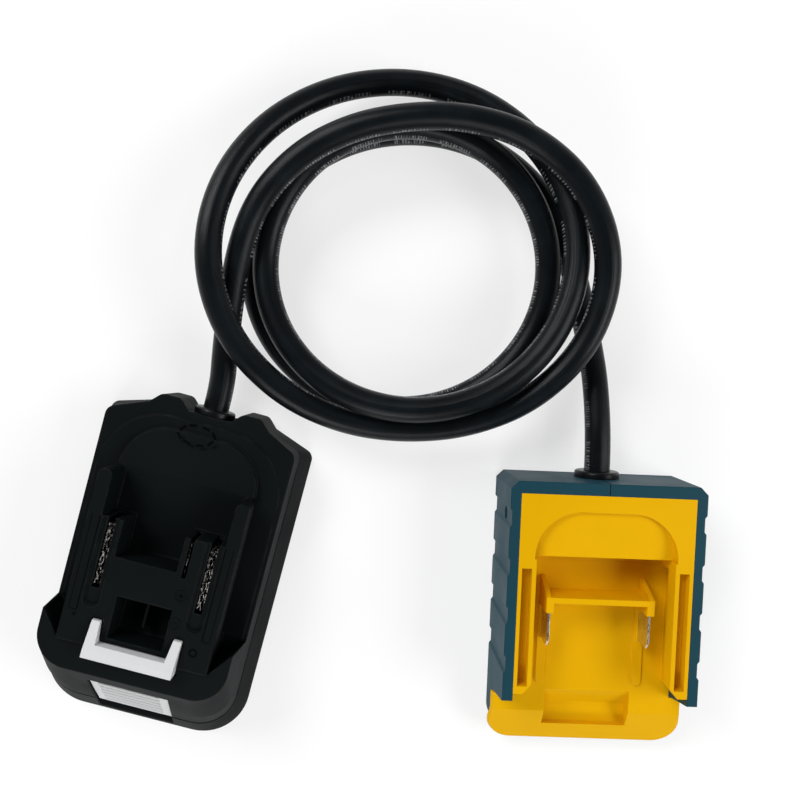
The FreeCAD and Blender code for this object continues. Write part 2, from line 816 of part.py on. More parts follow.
def make_plug_top():
    """The upper shell: skirt, seat ring, low dome, contact block between two rails, and the raised front."""
    skirt = loft("top_skirt", [
        (size.parting_level, plug_outline(plug_half, size.front_parting, size.parting_corner)),
        (shell_top, plug_outline(shoulder_half, size.front_shoulder, size.front_corner)),
    ])
    ring = prism(
        "top_ring", "top", arch(size.ring_width / 2, -size.front_start, size.ring_top, size.ring_radius),
        inner_top, size.shoulder_level,
    )
    dome_half = size.arch_width / 2 - size.fit_gap
    dome_top = size.arch_top - size.mating_shift - size.fit_gap
    dome_plan = prism(
        "top_dome_plan", "top", arch(dome_half, size.rail_rear, dome_top, size.arch_radius - size.fit_gap),
        inner_top, deck_level,
    )
    dome_side = prism("top_dome_side", "side", [
        (size.rail_rear, inner_top),
        (dome_top, inner_top),
        (dome_top, size.shoulder_level + size.arch_drop - size.fit_gap),
        (size.rail_rear, deck_level),
    ], -size.plug_width / 2, size.plug_width / 2)
    dome = common("top_dome", dome_plan, dome_side)
    deck = box("top_deck", (-neck_half, neck_half), (size.block_rear, size.rail_rear), (inner_top, deck_level))
    block = box("top_block", (-neck_half, neck_half), (-block_front, size.block_rear), (inner_top, plateau_level))
    ledge = box(
        "top_ledge", (-flange_half, flange_half), (-block_front, -size.rail_front), (inner_top, plateau_level)
    )
    rail_inner = flange_half - size.rail_width
    under_flange = plateau_level - size.flange_depth
    rail_section = prism("top_rail_section", "front", [
        (rail_inner, inner_top),
        (neck_half, inner_top),
        (neck_half, under_flange),
        (flange_half, under_flange),
        (flange_half, plateau_level),
        (rail_inner, plateau_level),
    ], -size.rail_front, size.rail_rear)
    rail_plan = prism("top_rail_plan", "top", [
        (rail_inner, -size.rail_front),
        (flange_half, -size.rail_front),
        (flange_half, size.rail_rear, size.rail_round),
        (rail_inner, size.rail_rear, size.rail_round),
    ], inner_top, plateau_level)
    rail = common("top_rail", rail_section, rail_plan)
    front = loft("top_front", [
        (level, [
            (half, -size.front_start),
            (flange_half, -block_front),
            (-flange_half, -block_front),
            (-half, -size.front_start),
            (-half, -reach, size.front_corner),
            (half, -reach, size.front_corner),
        ])
        for level, half, reach in (
            (shell_top, shoulder_half, size.front_shoulder),
            (size.front_level, size.front_width / 2, size.front_top),
        )
    ])
    outside = fuse(
        "top_outside", skirt, *bumps("top_bump", size.parting_level, shell_top), ring, dome, deck, block, ledge,
        *both_sides("top_rail_left", rail), front,
    )

    wall = size.plug_wall
    cavity = loft("top_inside", [
        (size.parting_level, plug_inside(plug_half, size.front_parting, size.parting_corner)),
        (inner_top, plug_inside(shoulder_half, size.front_shoulder, size.front_corner)),
    ])
    chamber_low = inner_top - 1.0
    chamber_top = plateau_level - wall
    chamber_rear = size.block_rear - wall
    chamber_side = neck_half - wall
    left = box(
        "top_left_chamber", (-chamber_side, -size.bay_left - size.bay_wall), (-size.chamber_front, chamber_rear),
        (chamber_low, chamber_top),
    )
    right = box(
        "top_right_chamber", (size.bay_right + size.bay_wall, chamber_side), (-size.chamber_front, chamber_rear),
        (chamber_low, chamber_top),
    )
    latch_space = prism("top_latch_space", "side", [
        (-size.hook_rear + size.latch_gap, chamber_low),
        (-size.hook_rear + size.latch_gap, size.front_level - wall),
        (wall - size.front_top, size.front_level - wall),
        (wall - size.front_shoulder, inner_top),
        (wall - size.front_shoulder, chamber_low),
    ], -size.latch_space_half, size.latch_space_half)
    hollow = cut("top_hollow", outside, cavity, left, right, latch_space)

    well_wall = size.bay_wall
    well_floor = plateau_level - size.well_depth
    well_half = size.well_width / 2
    well_box = box(
        "top_well_walls", (-well_half - well_wall, well_half + well_wall),
        (-size.well_front - well_wall, -size.well_rear + well_wall), (well_floor - well_wall, plateau_level),
    )
    boss = size.boss_diameter
    bosses = [
        rod(f"top_boss_{i}", boss, "z", (x, y, size.parting_level), inner_top + 1.0 - size.parting_level)
        for i, (x, y) in enumerate(shell_screw_places)
    ]
    solid = fuse("top_solid", hollow, well_box, *bosses)

    clear = plateau_level + 5.0
    blade_low = size.shoulder_level + size.receiver_height - size.blade_top - size.blade_room
    slot_half = size.slot_width / 2
    slot = box(
        "top_slot", (blade_x - slot_half, blade_x + slot_half), (-size.slot_front, size.block_rear + 1.0),
        (blade_low, clear),
    )
    strip_half = size.strip_width / 2
    strip_level = plateau_level - size.floor_rib_height - size.fit_gap
    strip = prism("top_strip", "top", [
        (blade_x - strip_half, -size.strip_front, size.strip_round),
        (blade_x + strip_half, -size.strip_front, size.strip_round),
        (blade_x + strip_half, size.block_rear + 1.0),
        (blade_x - strip_half, size.block_rear + 1.0),
    ], strip_level, clear)
    signal = box(
        "top_signal_slot", (size.signal_x - size.signal_width / 2, size.signal_x + size.signal_width / 2),
        (size.signal_front, size.block_rear + 1.0), (blade_low, clear),
    )
    bay = box(
        "top_bay", (-size.bay_left, size.bay_right), (size.middle_rear, size.block_rear + 1.0), (deck_level, clear)
    )
    well = box("top_well", (-well_half, well_half), (-size.well_front, -size.well_rear), (well_floor, clear))
    hook_way = prism("top_hook_way", "top", hook_outline(size.latch_gap), well_floor, clear)
    notch = button_hole("top_notch", size.parting_level - 1.0, size.button_high + size.latch_gap)
    hole = gland_hole("top_gland_hole", plug_gland_at, size.plug_wall)
    flange_room = rod(
        "top_gland_room", size.gland_inner, "y",
        (size.exit_offset, size.rear_middle - size.plug_wall - size.gland_inner_thickness - 1.0, size.plug_exit),
        size.gland_inner_thickness + 1.0,
    )
    shanks = [
        rod(f"top_shank_{i}", size.screw_shank, "z", (x, y, size.parting_level - 1.0),
            size.screw_seat + size.shell_screw_length - size.parting_level + 1.0)
        for i, (x, y) in enumerate(shell_screw_places)
    ]
    pilots = [
        rod(f"top_pilot_{i}", size.screw_shank, "z",
            (side * size.carrier_screw_x, size.carrier_screw_y, inner_top - 1.0), size.screw_seat_depth + 1.0)
        for i, side in enumerate((-1, 1))
    ]
    open_shell = cut(
        "top_open", solid, *both_sides("top_slot_left", slot), *both_sides("top_strip_left", strip),
        signal, bay, well, hook_way, notch, hole, flange_room, *shanks, *pilots,
    )
    rib = box(
        "top_well_rib", (-size.well_rib / 2, size.well_rib / 2),
        (-size.well_front + size.well_rib_gap, -size.well_rear), (well_floor, plateau_level - size.well_depth / 2),
    )
    settle("plug_top_shell", fuse("top_shell", open_shell, rib), "plug")


def make_contacts():
    """The carrier under the contact block, its two screws, and three forked contacts that stand on it."""
    carrier_low = inner_top - size.carrier_thickness
    side = neck_half - size.plug_wall
    plate = box("carrier_plate", (-side, side), (-size.carrier_front, size.block_rear), (carrier_low, inner_top))
    fork_half = size.slot_width / 2 - size.bore_clearance
    gap_half = fork_half - size.leaf_thickness
    leaf_top = plateau_level - size.plug_wall - size.fit_gap
    tail_low = carrier_low - size.contact_tail
    slots = []
    for node, x, front, width in (
        ("contact_positive", blade_x, -size.leaf_front, 1.0),
        ("contact_negative", -blade_x, -size.leaf_front, 1.0),
        ("contact_signal", size.signal_x, size.signal_front + size.fit_gap, 0.55),
    ):
        rear = size.block_rear - size.plug_wall - size.fit_gap
        fork = prism(f"{node}_fork", "front", [
            (x - fork_half * width, inner_top),
            (x + fork_half * width, inner_top),
            (x + fork_half * width, leaf_top),
            (x + gap_half * width, leaf_top),
            (x + gap_half * width, inner_top + size.leaf_root),
            (x - gap_half * width, inner_top + size.leaf_root),
            (x - gap_half * width, leaf_top),
            (x - fork_half * width, leaf_top),
        ], front, rear)
        half = size.tail_thickness / 2
        tail = box(f"{node}_tail", (x - half, x + half), (rear - size.tail_width, rear), (tail_low, inner_top))
        settle(node, fuse(f"{node}_solid", fork, tail), "plug")
        slots.append(box(
            f"{node}_way", (x - half, x + half), (rear - size.tail_width, rear), (carrier_low - 1.0, inner_top + 1.0)
        ))
    holes = [
        rod(f"carrier_hole_{i}", size.screw_shank, "z",
            (way * size.carrier_screw_x, size.carrier_screw_y, carrier_low - 1.0), size.carrier_thickness + 2.0)
        for i, way in enumerate((-1, 1))
    ]
    settle("contact_carrier", cut("carrier_cut", plate, *slots, *holes), "plug")
    made = [
        screw(f"carrier_screw_{i}", size.screw_head, size.screw_head_height, size.screw_shank,
              size.carrier_thickness + size.screw_seat_depth, "z",
              (way * size.carrier_screw_x, size.carrier_screw_y, carrier_low), 1)
        for i, way in enumerate((-1, 1))
    ]
    settle("carrier_screws", group("carrier_screw_pair", *made), "plug")


def make_latch():
    """The sprung hook and the push-button in one moulding, and the two springs under it."""
    plate_top = size.front_level - size.plug_wall - size.latch_gap
    plate_low = plate_top - size.plate_thickness
    hook = prism("latch_hook", "top", hook_outline(0.0), plate_low, plateau_level + size.hook_height)
    ramp = prism("latch_hook_side", "side", [
        (-size.hook_front, plate_low),
        (-size.hook_rear, plate_low),
        (-size.hook_rear, plateau_level + 1.0),
        (size.hook_bar / 2 - size.hook_front, plateau_level + size.hook_height),
        (-size.hook_front, plateau_level + size.hook_height),
    ], -size.hook_width, size.hook_width)
    hook = common("latch_hook_cut", hook, ramp)
    plate = box(
        "latch_plate", (-size.latch_plate_half, size.latch_plate_half),
        (-size.latch_plate_front, size.hook_bar - size.hook_front), (plate_low, plate_top),
    )
    stem_half = size.stem_width / 2
    drop = box(
        "latch_drop", (-stem_half, stem_half),
        (-size.latch_plate_front, size.stem_thickness - size.latch_plate_front), (size.stem_level, plate_top),
    )
    rearward = size.button_wall + size.button_recess

    def face(level):
        """How far forward the housing's front wall lies at a level."""
        if level <= size.parting_level:
            slope = (size.front_base - size.front_parting) / size.parting_level
            return size.front_base - slope * level
        if level <= size.shoulder_level:
            slope = (size.front_parting - size.front_shoulder) / (shell_top - size.parting_level)
            return size.front_parting - slope * (level - size.parting_level)
        slope = (size.front_shoulder - size.front_top) / (size.front_level - shell_top)
        return size.front_shoulder - slope * (level - shell_top)

    levels = [size.button_low, size.parting_level, shell_top, size.button_high]
    front_line = [(size.button_recess - face(level), level) for level in levels]
    back_line = [(rearward - face(level), level) for level in reversed(levels)]
    button = prism("latch_button", "side", front_line + back_line, -size.button_width / 2, size.button_width / 2)
    reach = rearward - face(size.stem_level + size.stem_thickness) - size.button_wall / 2
    shelf = box(
        "latch_shelf", (-stem_half, stem_half), (reach, size.stem_thickness - size.latch_plate_front),
        (size.stem_level, size.stem_level + size.stem_thickness),
    )
    settle("latch", fuse("latch_solid", hook, plate, drop, button, shelf), "plug")

    height = plate_low - size.spring_foot
    springs = []
    mean = (size.spring_diameter - size.spring_wire) / 2
    wire_radius = size.spring_wire / 2
    rise = (height - size.spring_wire) / SPRING_TURNS
    helix = Part.makeHelix(float(rise), float(rise * SPRING_TURNS), float(mean))
    circle = Part.Wire([Part.makeCircle(float(wire_radius), Vector(float(mean), 0, 0), Vector(0, 1, 0))])
    coil = Part.Wire(helix.Edges).makePipeShell([circle], True, True)
    for side in (-1, 1):
        spring = coil.copy()
        foot = float(size.spring_foot + wire_radius)
        spring.translate(Vector(side * float(size.spring_x), -float(size.spring_y), foot))
        springs.append(spring)
    pair = doc.addObject("Part::Feature", "latch_springs")
    pair.Shape = Part.makeCompound(springs)
    pair.Label = "latch_springs"
    pair.Placement = plug_place()
    PARTS["latch_springs"] = pair


def make_plug_cable_fittings():
    """The plug's gland, cable clamp and screws, the cable inside it, and the two leads."""
    gland("plug_grommet", size.plug_flange, plug_gland_at, size.plug_wall, "plug")
    clamp("plug_cable_clamp", size.exit_offset, plug_clamp_y, size.plug_exit, "plug")
    clamp_screws("plug_clamp_screws", size.exit_offset, plug_clamp_y, size.plug_exit, "plug")
    made = [
        screw(f"shell_screw_{i}", size.screw_head, size.screw_head_height, size.screw_shank,
              size.shell_screw_length, "z", (x, y, size.screw_seat), 1)
        for i, (x, y) in enumerate(shell_screw_places)
    ]
    settle("plug_shell_screws", group("shell_screw_set", *made), "plug")
    outer_face = size.rear_middle + size.gland_flange_thickness
    inner_end = plug_clamp_y - size.tail_overhang
    tail_from = (size.exit_offset, inner_end, size.plug_exit)
    tail = rod("plug_tail", size.cable_diameter, "y", tail_from, outer_face - inner_end)
    settle("plug_cable_tail", group("plug_tail_in_place", tail), "plug")
    rear = size.block_rear - size.plug_wall - size.fit_gap
    for node, side in (("plug_lead_positive", 1), ("plug_lead_negative", -1)):
        lead(
            node, (size.exit_offset + side * size.core_spacing / 2, inner_end, size.plug_exit),
            (side * blade_x, rear, size.plug_exit), plug_place(),
        )


# Receiver
receiver_gland_at = (0.0, size.rim_length, size.receiver_exit)
receiver_clamp_y = size.rim_length - size.rear_wall - size.receiver_clamp_setback - size.clamp_length
plate_rear = size.rim_length - size.rim_rear
plate_under = floor_level - size.plate_floor
lip_side = size.front_lip_width / 2
lip_slope = (plate_under - size.front_lip_edge) / (size.front_lip_length - size.front_lip_crease)
base_screw_places = [(x, y) for x in (size.base_screw_x, -size.base_screw_x) for y in (
    size.base_screw_front, size.base_screw_rear)]


def make_receiver_half(side):
    """One half of the receiver's housing, with its panels, bosses, half saddle and half of the gland's hole."""
    name = "right" if side > 0 else "left"
    rim = size.rim_width / 2
    base = rim + size.receiver_flare
    length = size.rim_length
    front = size.front_lip_length - size.lip_overhang
    chamfer = size.rim_chamfer

    def edge(half):
        return [
            (0.0, -front), (half, -front, size.front_lip_corner - size.lip_overhang),
            (half, length - chamfer), (half - chamfer, length), (0.0, length),
        ]

    outside = loft(f"{name}_outside", [(0.0, edge(base)), (size.receiver_height, edge(rim))])
    profile = prism(f"{name}_profile", "side", [
        (-front, 0.0),
        (length, 0.0),
        (length, size.receiver_height),
        (size.rim_front, size.receiver_height),
        (size.rim_front - size.rim_front_slope, plate_under),
        (-size.front_lip_crease, plate_under),
        (-front, plate_under - lip_slope * (front - size.front_lip_crease)),
    ], 0.0, base + 1.0)
    body = common(f"{name}_body", outside, profile)
    inner_front = front - size.shell_floor
    main = box(
        f"{name}_main_space", (-1.0, plate_half), (-inner_front, plate_rear),
        (size.shell_floor, size.receiver_height + 1.0),
    )
    rear = box(
        f"{name}_rear_space", (-1.0, plate_half), (plate_rear - 1.0, length - size.rear_wall),
        (size.shell_floor, size.rear_space_top),
    )
    panels = []
    half_width = size.panel_recess / 2
    for i in range(PANEL_RECESSES):
        middle = size.first_recess + i * size.panel_pitch
        shallow = half_width + size.panel_slope / 2
        deep = half_width - size.panel_slope / 2
        panels.append(loft(f"{name}_panel_{i}", [
            (level, [
                (half - size.panel_step, middle - deep),
                (half, middle - shallow),
                (half + 1.0, middle - shallow),
                (half + 1.0, middle + shallow),
                (half, middle + shallow),
                (half - size.panel_step, middle + deep),
            ])
            for level, half in ((0.0, base), (size.receiver_height, rim))
        ]))
    hollow = cut(f"{name}_hollow", body, main, rear, *panels)
    block, bore, holes = saddle(f"{name}_saddle", 0.0, receiver_clamp_y, size.receiver_exit, size.shell_floor)
    half_block = common(f"{name}_half_block", block, box(
        f"{name}_saddle_side", (0.0, size.clamp_width), (receiver_clamp_y, receiver_clamp_y + size.clamp_length),
        (0.0, size.receiver_height),
    ))
    boss = size.screw_head + 2 * size.boss_wall
    bosses = [
        rod(f"{name}_boss_{i}", boss, "z", (x, y, size.shell_floor / 2), size.base_seam - size.shell_floor / 2)
        for i, (x, y) in enumerate(base_screw_places[:2])
    ]
    solid = fuse(f"{name}_solid", hollow, half_block, *bosses)
    wells = [
        rod(f"{name}_well_{i}", size.screw_head + 2 * size.bore_clearance, "z", (x, y, -1.0), size.screw_seat + 1.0)
        for i, (x, y) in enumerate(base_screw_places[:2])
    ]
    shanks = [
        rod(f"{name}_shank_{i}", size.screw_shank, "z", (x, y, 0.0), size.base_seam + 1.0)
        for i, (x, y) in enumerate(base_screw_places[:2])
    ]
    hole = gland_hole(f"{name}_gland_hole", receiver_gland_at, size.rear_wall)
    shell = cut(f"{name}_cut", solid, bore, holes[1], *wells, *shanks, hole)
    if side < 0:
        shell = mirrored("left_mirrored", shell)
    post = rod(
        f"{name}_post", size.seam_boss, "x",
        (0.0 if side > 0 else -plate_half - 0.5, size.side_screw_y, size.side_screw_height),
        plate_half + 0.5,
    )
    room = rod(
        f"{name}_cable_room", size.cable_diameter + 2 * size.fit_gap, "y",
        (0.0, size.side_screw_y - size.seam_boss, size.receiver_exit), 2 * size.seam_boss,
    )
    shank = rod(
        f"{name}_side_shank", size.screw_shank, "x", (-size.rim_width, size.side_screw_y, size.side_screw_height),
        size.rim_width + size.side_screw_tip,
    )
    cuts = [shank, room]
    if side < 0:
        cuts.append(rod(
            "left_side_well", size.side_screw_hole, "x", (-size.rim_width, size.side_screw_y, size.side_screw_height),
            size.rim_width - size.side_screw_seat,
        ))
    whole = cut(f"{name}_whole", fuse(f"{name}_with_post", shell, post), *cuts)
    settle(f"receiver_{name}_shell", whole, "receiver")


def make_slide_plate():
    """The slide interface in one moulding: floor, sloped front lip with its latch pocket, rails and arched rear."""
    half = plate_half
    opening = size.slide_opening / 2
    groove = size.groove_opening / 2
    top = size.receiver_height
    lip_front = size.front_lip_length
    step_y = size.rim_front - size.rim_front_slope - size.fit_gap
    lip_plan = loft("plate_lip_plan", [
        (level, [
            (reach, -lip_front, size.front_lip_corner),
            (reach, step_y),
            (-reach, step_y),
            (-reach, -lip_front, size.front_lip_corner),
        ])
        for level, reach in ((size.front_lip_edge, lip_side), (floor_level, lip_side - size.front_lip_flare))
    ])
    lip_side_view = prism("plate_lip_side", "side", [
        (-lip_front, size.front_lip_edge),
        (-size.front_lip_crease, plate_under),
        (step_y, plate_under),
        (step_y, floor_level),
        (-size.front_lip_crease, floor_level),
        (-lip_front, size.front_lip_height),
    ], -lip_side, lip_side)
    lip = common("plate_lip", lip_plan, lip_side_view)
    floor = box("plate_floor", (-half, half), (step_y - 1.0, size.ramp_edge), (plate_under, floor_level))
    rear_slab = box("plate_rear", (-half, half), (size.groove_length, plate_rear), (size.slab_underside, top))
    rear_wall = box(
        "plate_rear_wall", (-half, half), (size.groove_length, size.ramp_edge + size.plate_floor), (plate_under, top)
    )
    side_block = box("plate_side", (opening, half), (size.rail_tip_side, size.groove_length), (plate_under, top))
    pocket_half = size.pocket_width / 2
    wall = size.pocket_wall
    pocket_floor = floor_level - size.pocket_depth
    pocket_box = box(
        "plate_pocket_walls", (-pocket_half - wall, pocket_half + wall),
        (-size.pocket_far - wall, -size.pocket_near + wall), (pocket_floor - wall, plate_under + 1.0),
    )
    under_lip = prism("plate_under_lip", "side", [
        (-lip_front, 0.0),
        (0.0, 0.0),
        (0.0, plate_under + 1.0),
        (-size.front_lip_crease, plate_under + 1.0),
        (-lip_front, size.front_lip_edge + 1.0),
    ], -lip_side, lip_side)
    pocket_box = common("plate_pocket_box", pocket_box, under_lip)
    rib_half = size.floor_rib_width / 2
    ribs = prism("plate_rib", "top", [
        (blade_x - rib_half, size.blade_root),
        (blade_x - rib_half, size.floor_rib_tip, rib_half * 0.95),
        (blade_x + rib_half, size.floor_rib_tip, rib_half * 0.95),
        (blade_x + rib_half, size.blade_root),
    ], floor_level - 1.0, floor_level + size.floor_rib_height)
    bosses = [
        rod(f"plate_boss_{i}", size.boss_diameter, "z", (x, y, size.base_seam), plate_under + 1.0 - size.base_seam)
        for i, (x, y) in enumerate(base_screw_places)
    ]
    solid = fuse(
        "plate_solid", lip, floor, rear_slab, rear_wall, *both_sides("plate_side_left", side_block), pocket_box,
        *both_sides("plate_rib_left", ribs), *bosses,
    )
    slide_way = box(
        "plate_slide_way", (-opening, opening), (-1.0, size.ramp_edge),
        (floor_level + size.floor_rib_height, top + 1.0),
    )
    groove_way = box(
        "plate_groove", (opening - 1.0, groove), (-1.0, size.groove_length), (floor_level, size.lip_underside)
    )
    channel_low = opening + size.rail_strip
    channel = box(
        "plate_channel", (channel_low, channel_low + size.rail_channel_width),
        (size.rail_channel_start, size.groove_length), (top - size.rail_channel_depth, top + 1.0),
    )
    tip_way = prism("plate_tip_way", "top", [
        (opening - 1.0, -1.0),
        (opening + size.rail_tip_slant, size.rail_tip_side),
        (opening + size.rail_tip_slant, -1.0),
    ], floor_level, top + 1.0)
    tip = prism("plate_tip", "top", [
        (opening - 1.0, 0.0),
        (half + 1.0, 0.0),
        (half + 1.0, size.rail_tip_side),
        (opening + size.rail_tip_slant, size.rail_tip_side),
        (opening, size.rail_tip),
        (opening - 1.0, size.rail_tip),
    ], floor_level, top + 1.0)
    arch_plan = prism(
        "plate_arch_plan", "top",
        arch(size.arch_width / 2, size.ramp_edge - size.arch_shoulder, size.arch_top, size.arch_radius),
        floor_level, top + 1.0,
    )
    arch_side = prism("plate_arch_side", "side", [
        (size.groove_length, top - size.ramp_drop),
        (size.ramp_edge, top - size.ramp_drop),
        (size.arch_top, top - size.arch_drop),
        (size.arch_top, top + 1.0),
        (size.groove_length, top + 1.0),
    ], -half, half)
    arch_way = common("plate_arch_way", arch_plan, arch_side)
    pocket = prism("plate_pocket", "side", [
        (-size.pocket_near, top),
        (-size.pocket_near, floor_level),
        (-size.pocket_foot, pocket_floor),
        (-size.pocket_far, pocket_floor),
        (-size.pocket_far, top),
    ], -pocket_half, pocket_half)
    screw_holes = [
        rod(f"plate_screw_hole_{i}", size.screw_shank, "z", (x, y, size.base_seam - 1.0),
            size.screw_seat + size.screw_length - size.base_seam + 1.0)
        for i, (x, y) in enumerate(base_screw_places)
    ]
    tail_half = size.blade_thickness / 2
    tail_way = box(
        "plate_tail_way", (blade_x - tail_half, blade_x + tail_half), (size.blade_root, size.blade_rear),
        (plate_under - 1.0, floor_level + 1.0),
    )
    settle("slide_plate", cut(
        "plate_cut", solid, slide_way, *both_sides("plate_groove_left", groove_way),
        *both_sides("plate_channel_left", channel), *both_sides("plate_tip_left", tip), arch_way, pocket,
        *screw_holes, *both_sides("plate_tail_left", tail_way),
    ), "receiver")


def make_terminals():
    """The bridge that holds the two blades upright, and the blades themselves."""
    half = size.blade_thickness / 2
    low = floor_level + size.floor_rib_height
    blade_tip = size.blade_root - size.blade_length
    for node, side in (("blade_positive", 1), ("blade_negative", -1)):
        x = side * blade_x
        settle(node, prism(f"{node}_profile", "side", [
            (blade_tip, low),
            (size.blade_root, low),
            (size.blade_root, floor_level - size.blade_tail),
            (size.blade_rear, floor_level - size.blade_tail),
            (size.blade_rear, size.blade_top),
            (blade_tip + size.blade_chamfer, size.blade_top),
            (blade_tip, size.blade_top - size.blade_chamfer),
        ], x - half, x + half), "receiver")
    reach = blade_x + size.prong_half
    top = floor_level + size.bridge_height
    back = size.bridge_y + size.bridge_thickness
    bar = box("bridge_bar", (-reach, reach), (size.bridge_y, back), (floor_level, top))
    prong = box(
        "bridge_prong", (blade_x - size.prong_half, reach), (size.blade_root, size.bridge_y), (floor_level, top)
    )
    gusset = prism("bridge_gusset", "side", [
        (back - 1.0, floor_level),
        (back + size.gusset_reach, floor_level),
        (back, top),
        (back - 1.0, top),
    ], reach - size.gusset_thickness, reach)
    way = box(
        "bridge_blade_way", (blade_x - half, blade_x + half), (size.blade_root - 1.0, size.blade_rear),
        (floor_level - 1.0, size.blade_top),
    )
    prongs = both_sides("bridge_prong_left", prong)
    gussets = both_sides("bridge_gusset_left", gusset)
    solid = fuse("bridge_solid", bar, *prongs, *gussets)
    settle("terminal_bridge", cut("bridge_cut", solid, *both_sides("bridge_way_left", way)), "receiver")


def make_receiver_fittings():
    """The receiver's gland, cable clamp, screws, the cable inside it, and the two leads."""
    gland("receiver_grommet", size.receiver_flange, receiver_gland_at, size.rear_wall, "receiver")
    clamp("receiver_cable_clamp", 0.0, receiver_clamp_y, size.receiver_exit, "receiver")
    clamp_screws("receiver_clamp_screws", 0.0, receiver_clamp_y, size.receiver_exit, "receiver")
    made = [
        screw(f"base_screw_{i}", size.screw_head, size.screw_head_height, size.screw_shank, size.screw_length, "z",
              (x, y, size.screw_seat), 1)
        for i, (x, y) in enumerate(base_screw_places)
    ]
    settle("receiver_base_screws", group("base_screw_set", *made), "receiver")
    settle("receiver_side_screw", screw(
        "side_screw", size.side_screw_head, size.screw_head_height, size.screw_shank,
        size.side_screw_seat + size.side_screw_tip, "x",
        (-size.side_screw_seat, size.side_screw_y, size.side_screw_height),
    ), "receiver")
    outer_face = size.rim_length + size.gland_flange_thickness
    inner_end = receiver_clamp_y - size.tail_overhang
    tail_from = (0.0, inner_end, size.receiver_exit)
    tail = rod("receiver_tail", size.cable_diameter, "y", tail_from, outer_face - inner_end)
    settle("receiver_cable_tail", group("receiver_tail_in_place", tail), "receiver")
    for node, side in (("receiver_lead_positive", 1), ("receiver_lead_negative", -1)):
        lead(
            node, (side * size.core_spacing / 2, inner_end, size.receiver_exit - size.core_drop),
            (side * blade_x, size.blade_rear, size.lead_height), receiver_place(),
        )


# Cable

def quarter_points():
    """The coil's points at every quarter turn."""
    points = []
    for i, (reach, height) in enumerate(COIL_QUARTERS):
        angle = math.radians(180 - 90 * i)
        points.append(Vector(
            COIL_CENTRE[0] + reach * math.cos(angle), COIL_CENTRE[1] + reach * math.sin(angle), height
        ))
    return points


def coil_ends():
    """The coil's directions at its first and last points."""
    return Vector(*COIL_START).normalize(), Vector(*COIL_FINISH).normalize()


def quarter_tangents(points):
    first, last = coil_ends()
    tangents = [first]
    for before, after in zip(points, points[2:]):
        chord = after - before
        chord.z /= ARC_OVER_CHORD
        tangents.append(chord.normalize())
    return tangents + [last]


def biarc(start, start_way, end, end_way):
    """Two arcs from one point to the next, tangent to both directions and to each other."""
    total = start_way + end_way
    chord = end - start
    a = total.dot(total) - 4
    b = 2 * chord.dot(total)
    c = chord.dot(chord)
    reach = (b - math.sqrt(b * b - 4 * a * c)) / (2 * a)
    near = start + start_way * reach
    far = end - end_way * reach
    join = (near + far) * 0.5
    edges = []
    for left, corner, right in ((start, near, join), (join, far, end)):
        back = (left - corner).normalize()
        ahead = (right - corner).normalize()
        half = back.getAngle(ahead) / 2
        radius = reach * math.tan(half)
        middle = corner + (back + ahead).normalize() * (radius / math.sin(half) - radius)
        edges.append((Part.Arc(left, middle, right).toShape(), radius))
    return edges


def make_coil():
    """The coiled cable, straight for one diameter at both ends."""
    points = quarter_points()
    tangents = quarter_tangents(points)
    straight = float(size.cable_diameter)
    start = points[0] - tangents[0] * straight
    finish = points[-1] + tangents[-1] * straight
    edges = [Part.LineSegment(start, points[0]).toShape()]
    radii = []
    for i in range(len(points) - 1):
        for edge, radius in biarc(points[i], tangents[i], points[i + 1], tangents[i + 1]):
            edges.append(edge)
            radii.append(radius)
    edges.append(Part.LineSegment(points[-1], finish).toShape())
    wire = Part.Wire(edges)
    tube_part("cable_coil", wire, size.cable_diameter)
    print(f"coil: {wire.Length:.0f} mm in {COIL_TURNS} turns, radii {min(radii):.0f} to {max(radii):.0f} mm")
    print(f"coil: least gap to itself {self_gap(edges, straight):.2f} mm")
    return start, tangents[0], finish, tangents[-1]


# Points nearer to each other than this along the cable lie on one bend
APART_ALONG = 100.0


def self_gap(edges, diameter):
    """The least gap between parts of a tube that lie more than half a turn apart, measured on points."""
    points, along, travelled = [], [], 0.0
    for edge in edges:
        steps = max(2, int(edge.Length / 2))
        for k in range(steps):
            share = edge.Length * k / steps
            points.append(edge.valueAt(edge.getParameterByLength(share)))
            along.append(travelled + share)
        travelled += edge.Length
    least = 1e9
    for i, point in enumerate(points):
        for k in range(i + 1, len(points)):
            if along[k] - along[i] < APART_ALONG:
                continue
            distance = (point - points[k]).Length
            if distance < least:
                least = distance
    return least - diameter


def make_stretches(coil_start, start_way, coil_finish, finish_way):
    """The cable's two free stretches, from each gland to the coil."""
    plug_face = plug_place().multVec(Vector(
        size.exit_offset, size.rear_middle + size.gland_flange_thickness, size.plug_exit))
    plug_way = plug_place().Rotation.multVec(Vector(0, 1, 0))
    receiver_face = receiver_place().multVec(Vector(
        0, size.rim_length + size.gland_flange_thickness, size.receiver_exit))
    receiver_way = receiver_place().Rotation.multVec(Vector(0, 1, 0))
    for node, begin, begin_way, points, end, end_way in (
        ("cable_plug_end", plug_face, plug_way, PLUG_STRETCH, coil_start, start_way),
        ("cable_receiver_end", coil_finish, finish_way, RECEIVER_STRETCH, receiver_face, receiver_way * -1),
    ):
        first = begin + begin_way * STRETCH_RUN
        last = end - end_way * STRETCH_RUN
        wire, radii = route([begin, first, *points, last, end])
        tube_part(node, wire, size.cable_diameter)
        listed = ", ".join(f"{radius:.0f}" for radius in radii)
        print(f"{node}: {wire.Length:.0f} mm, radii {listed} mm, ends at {begin} and {end}")


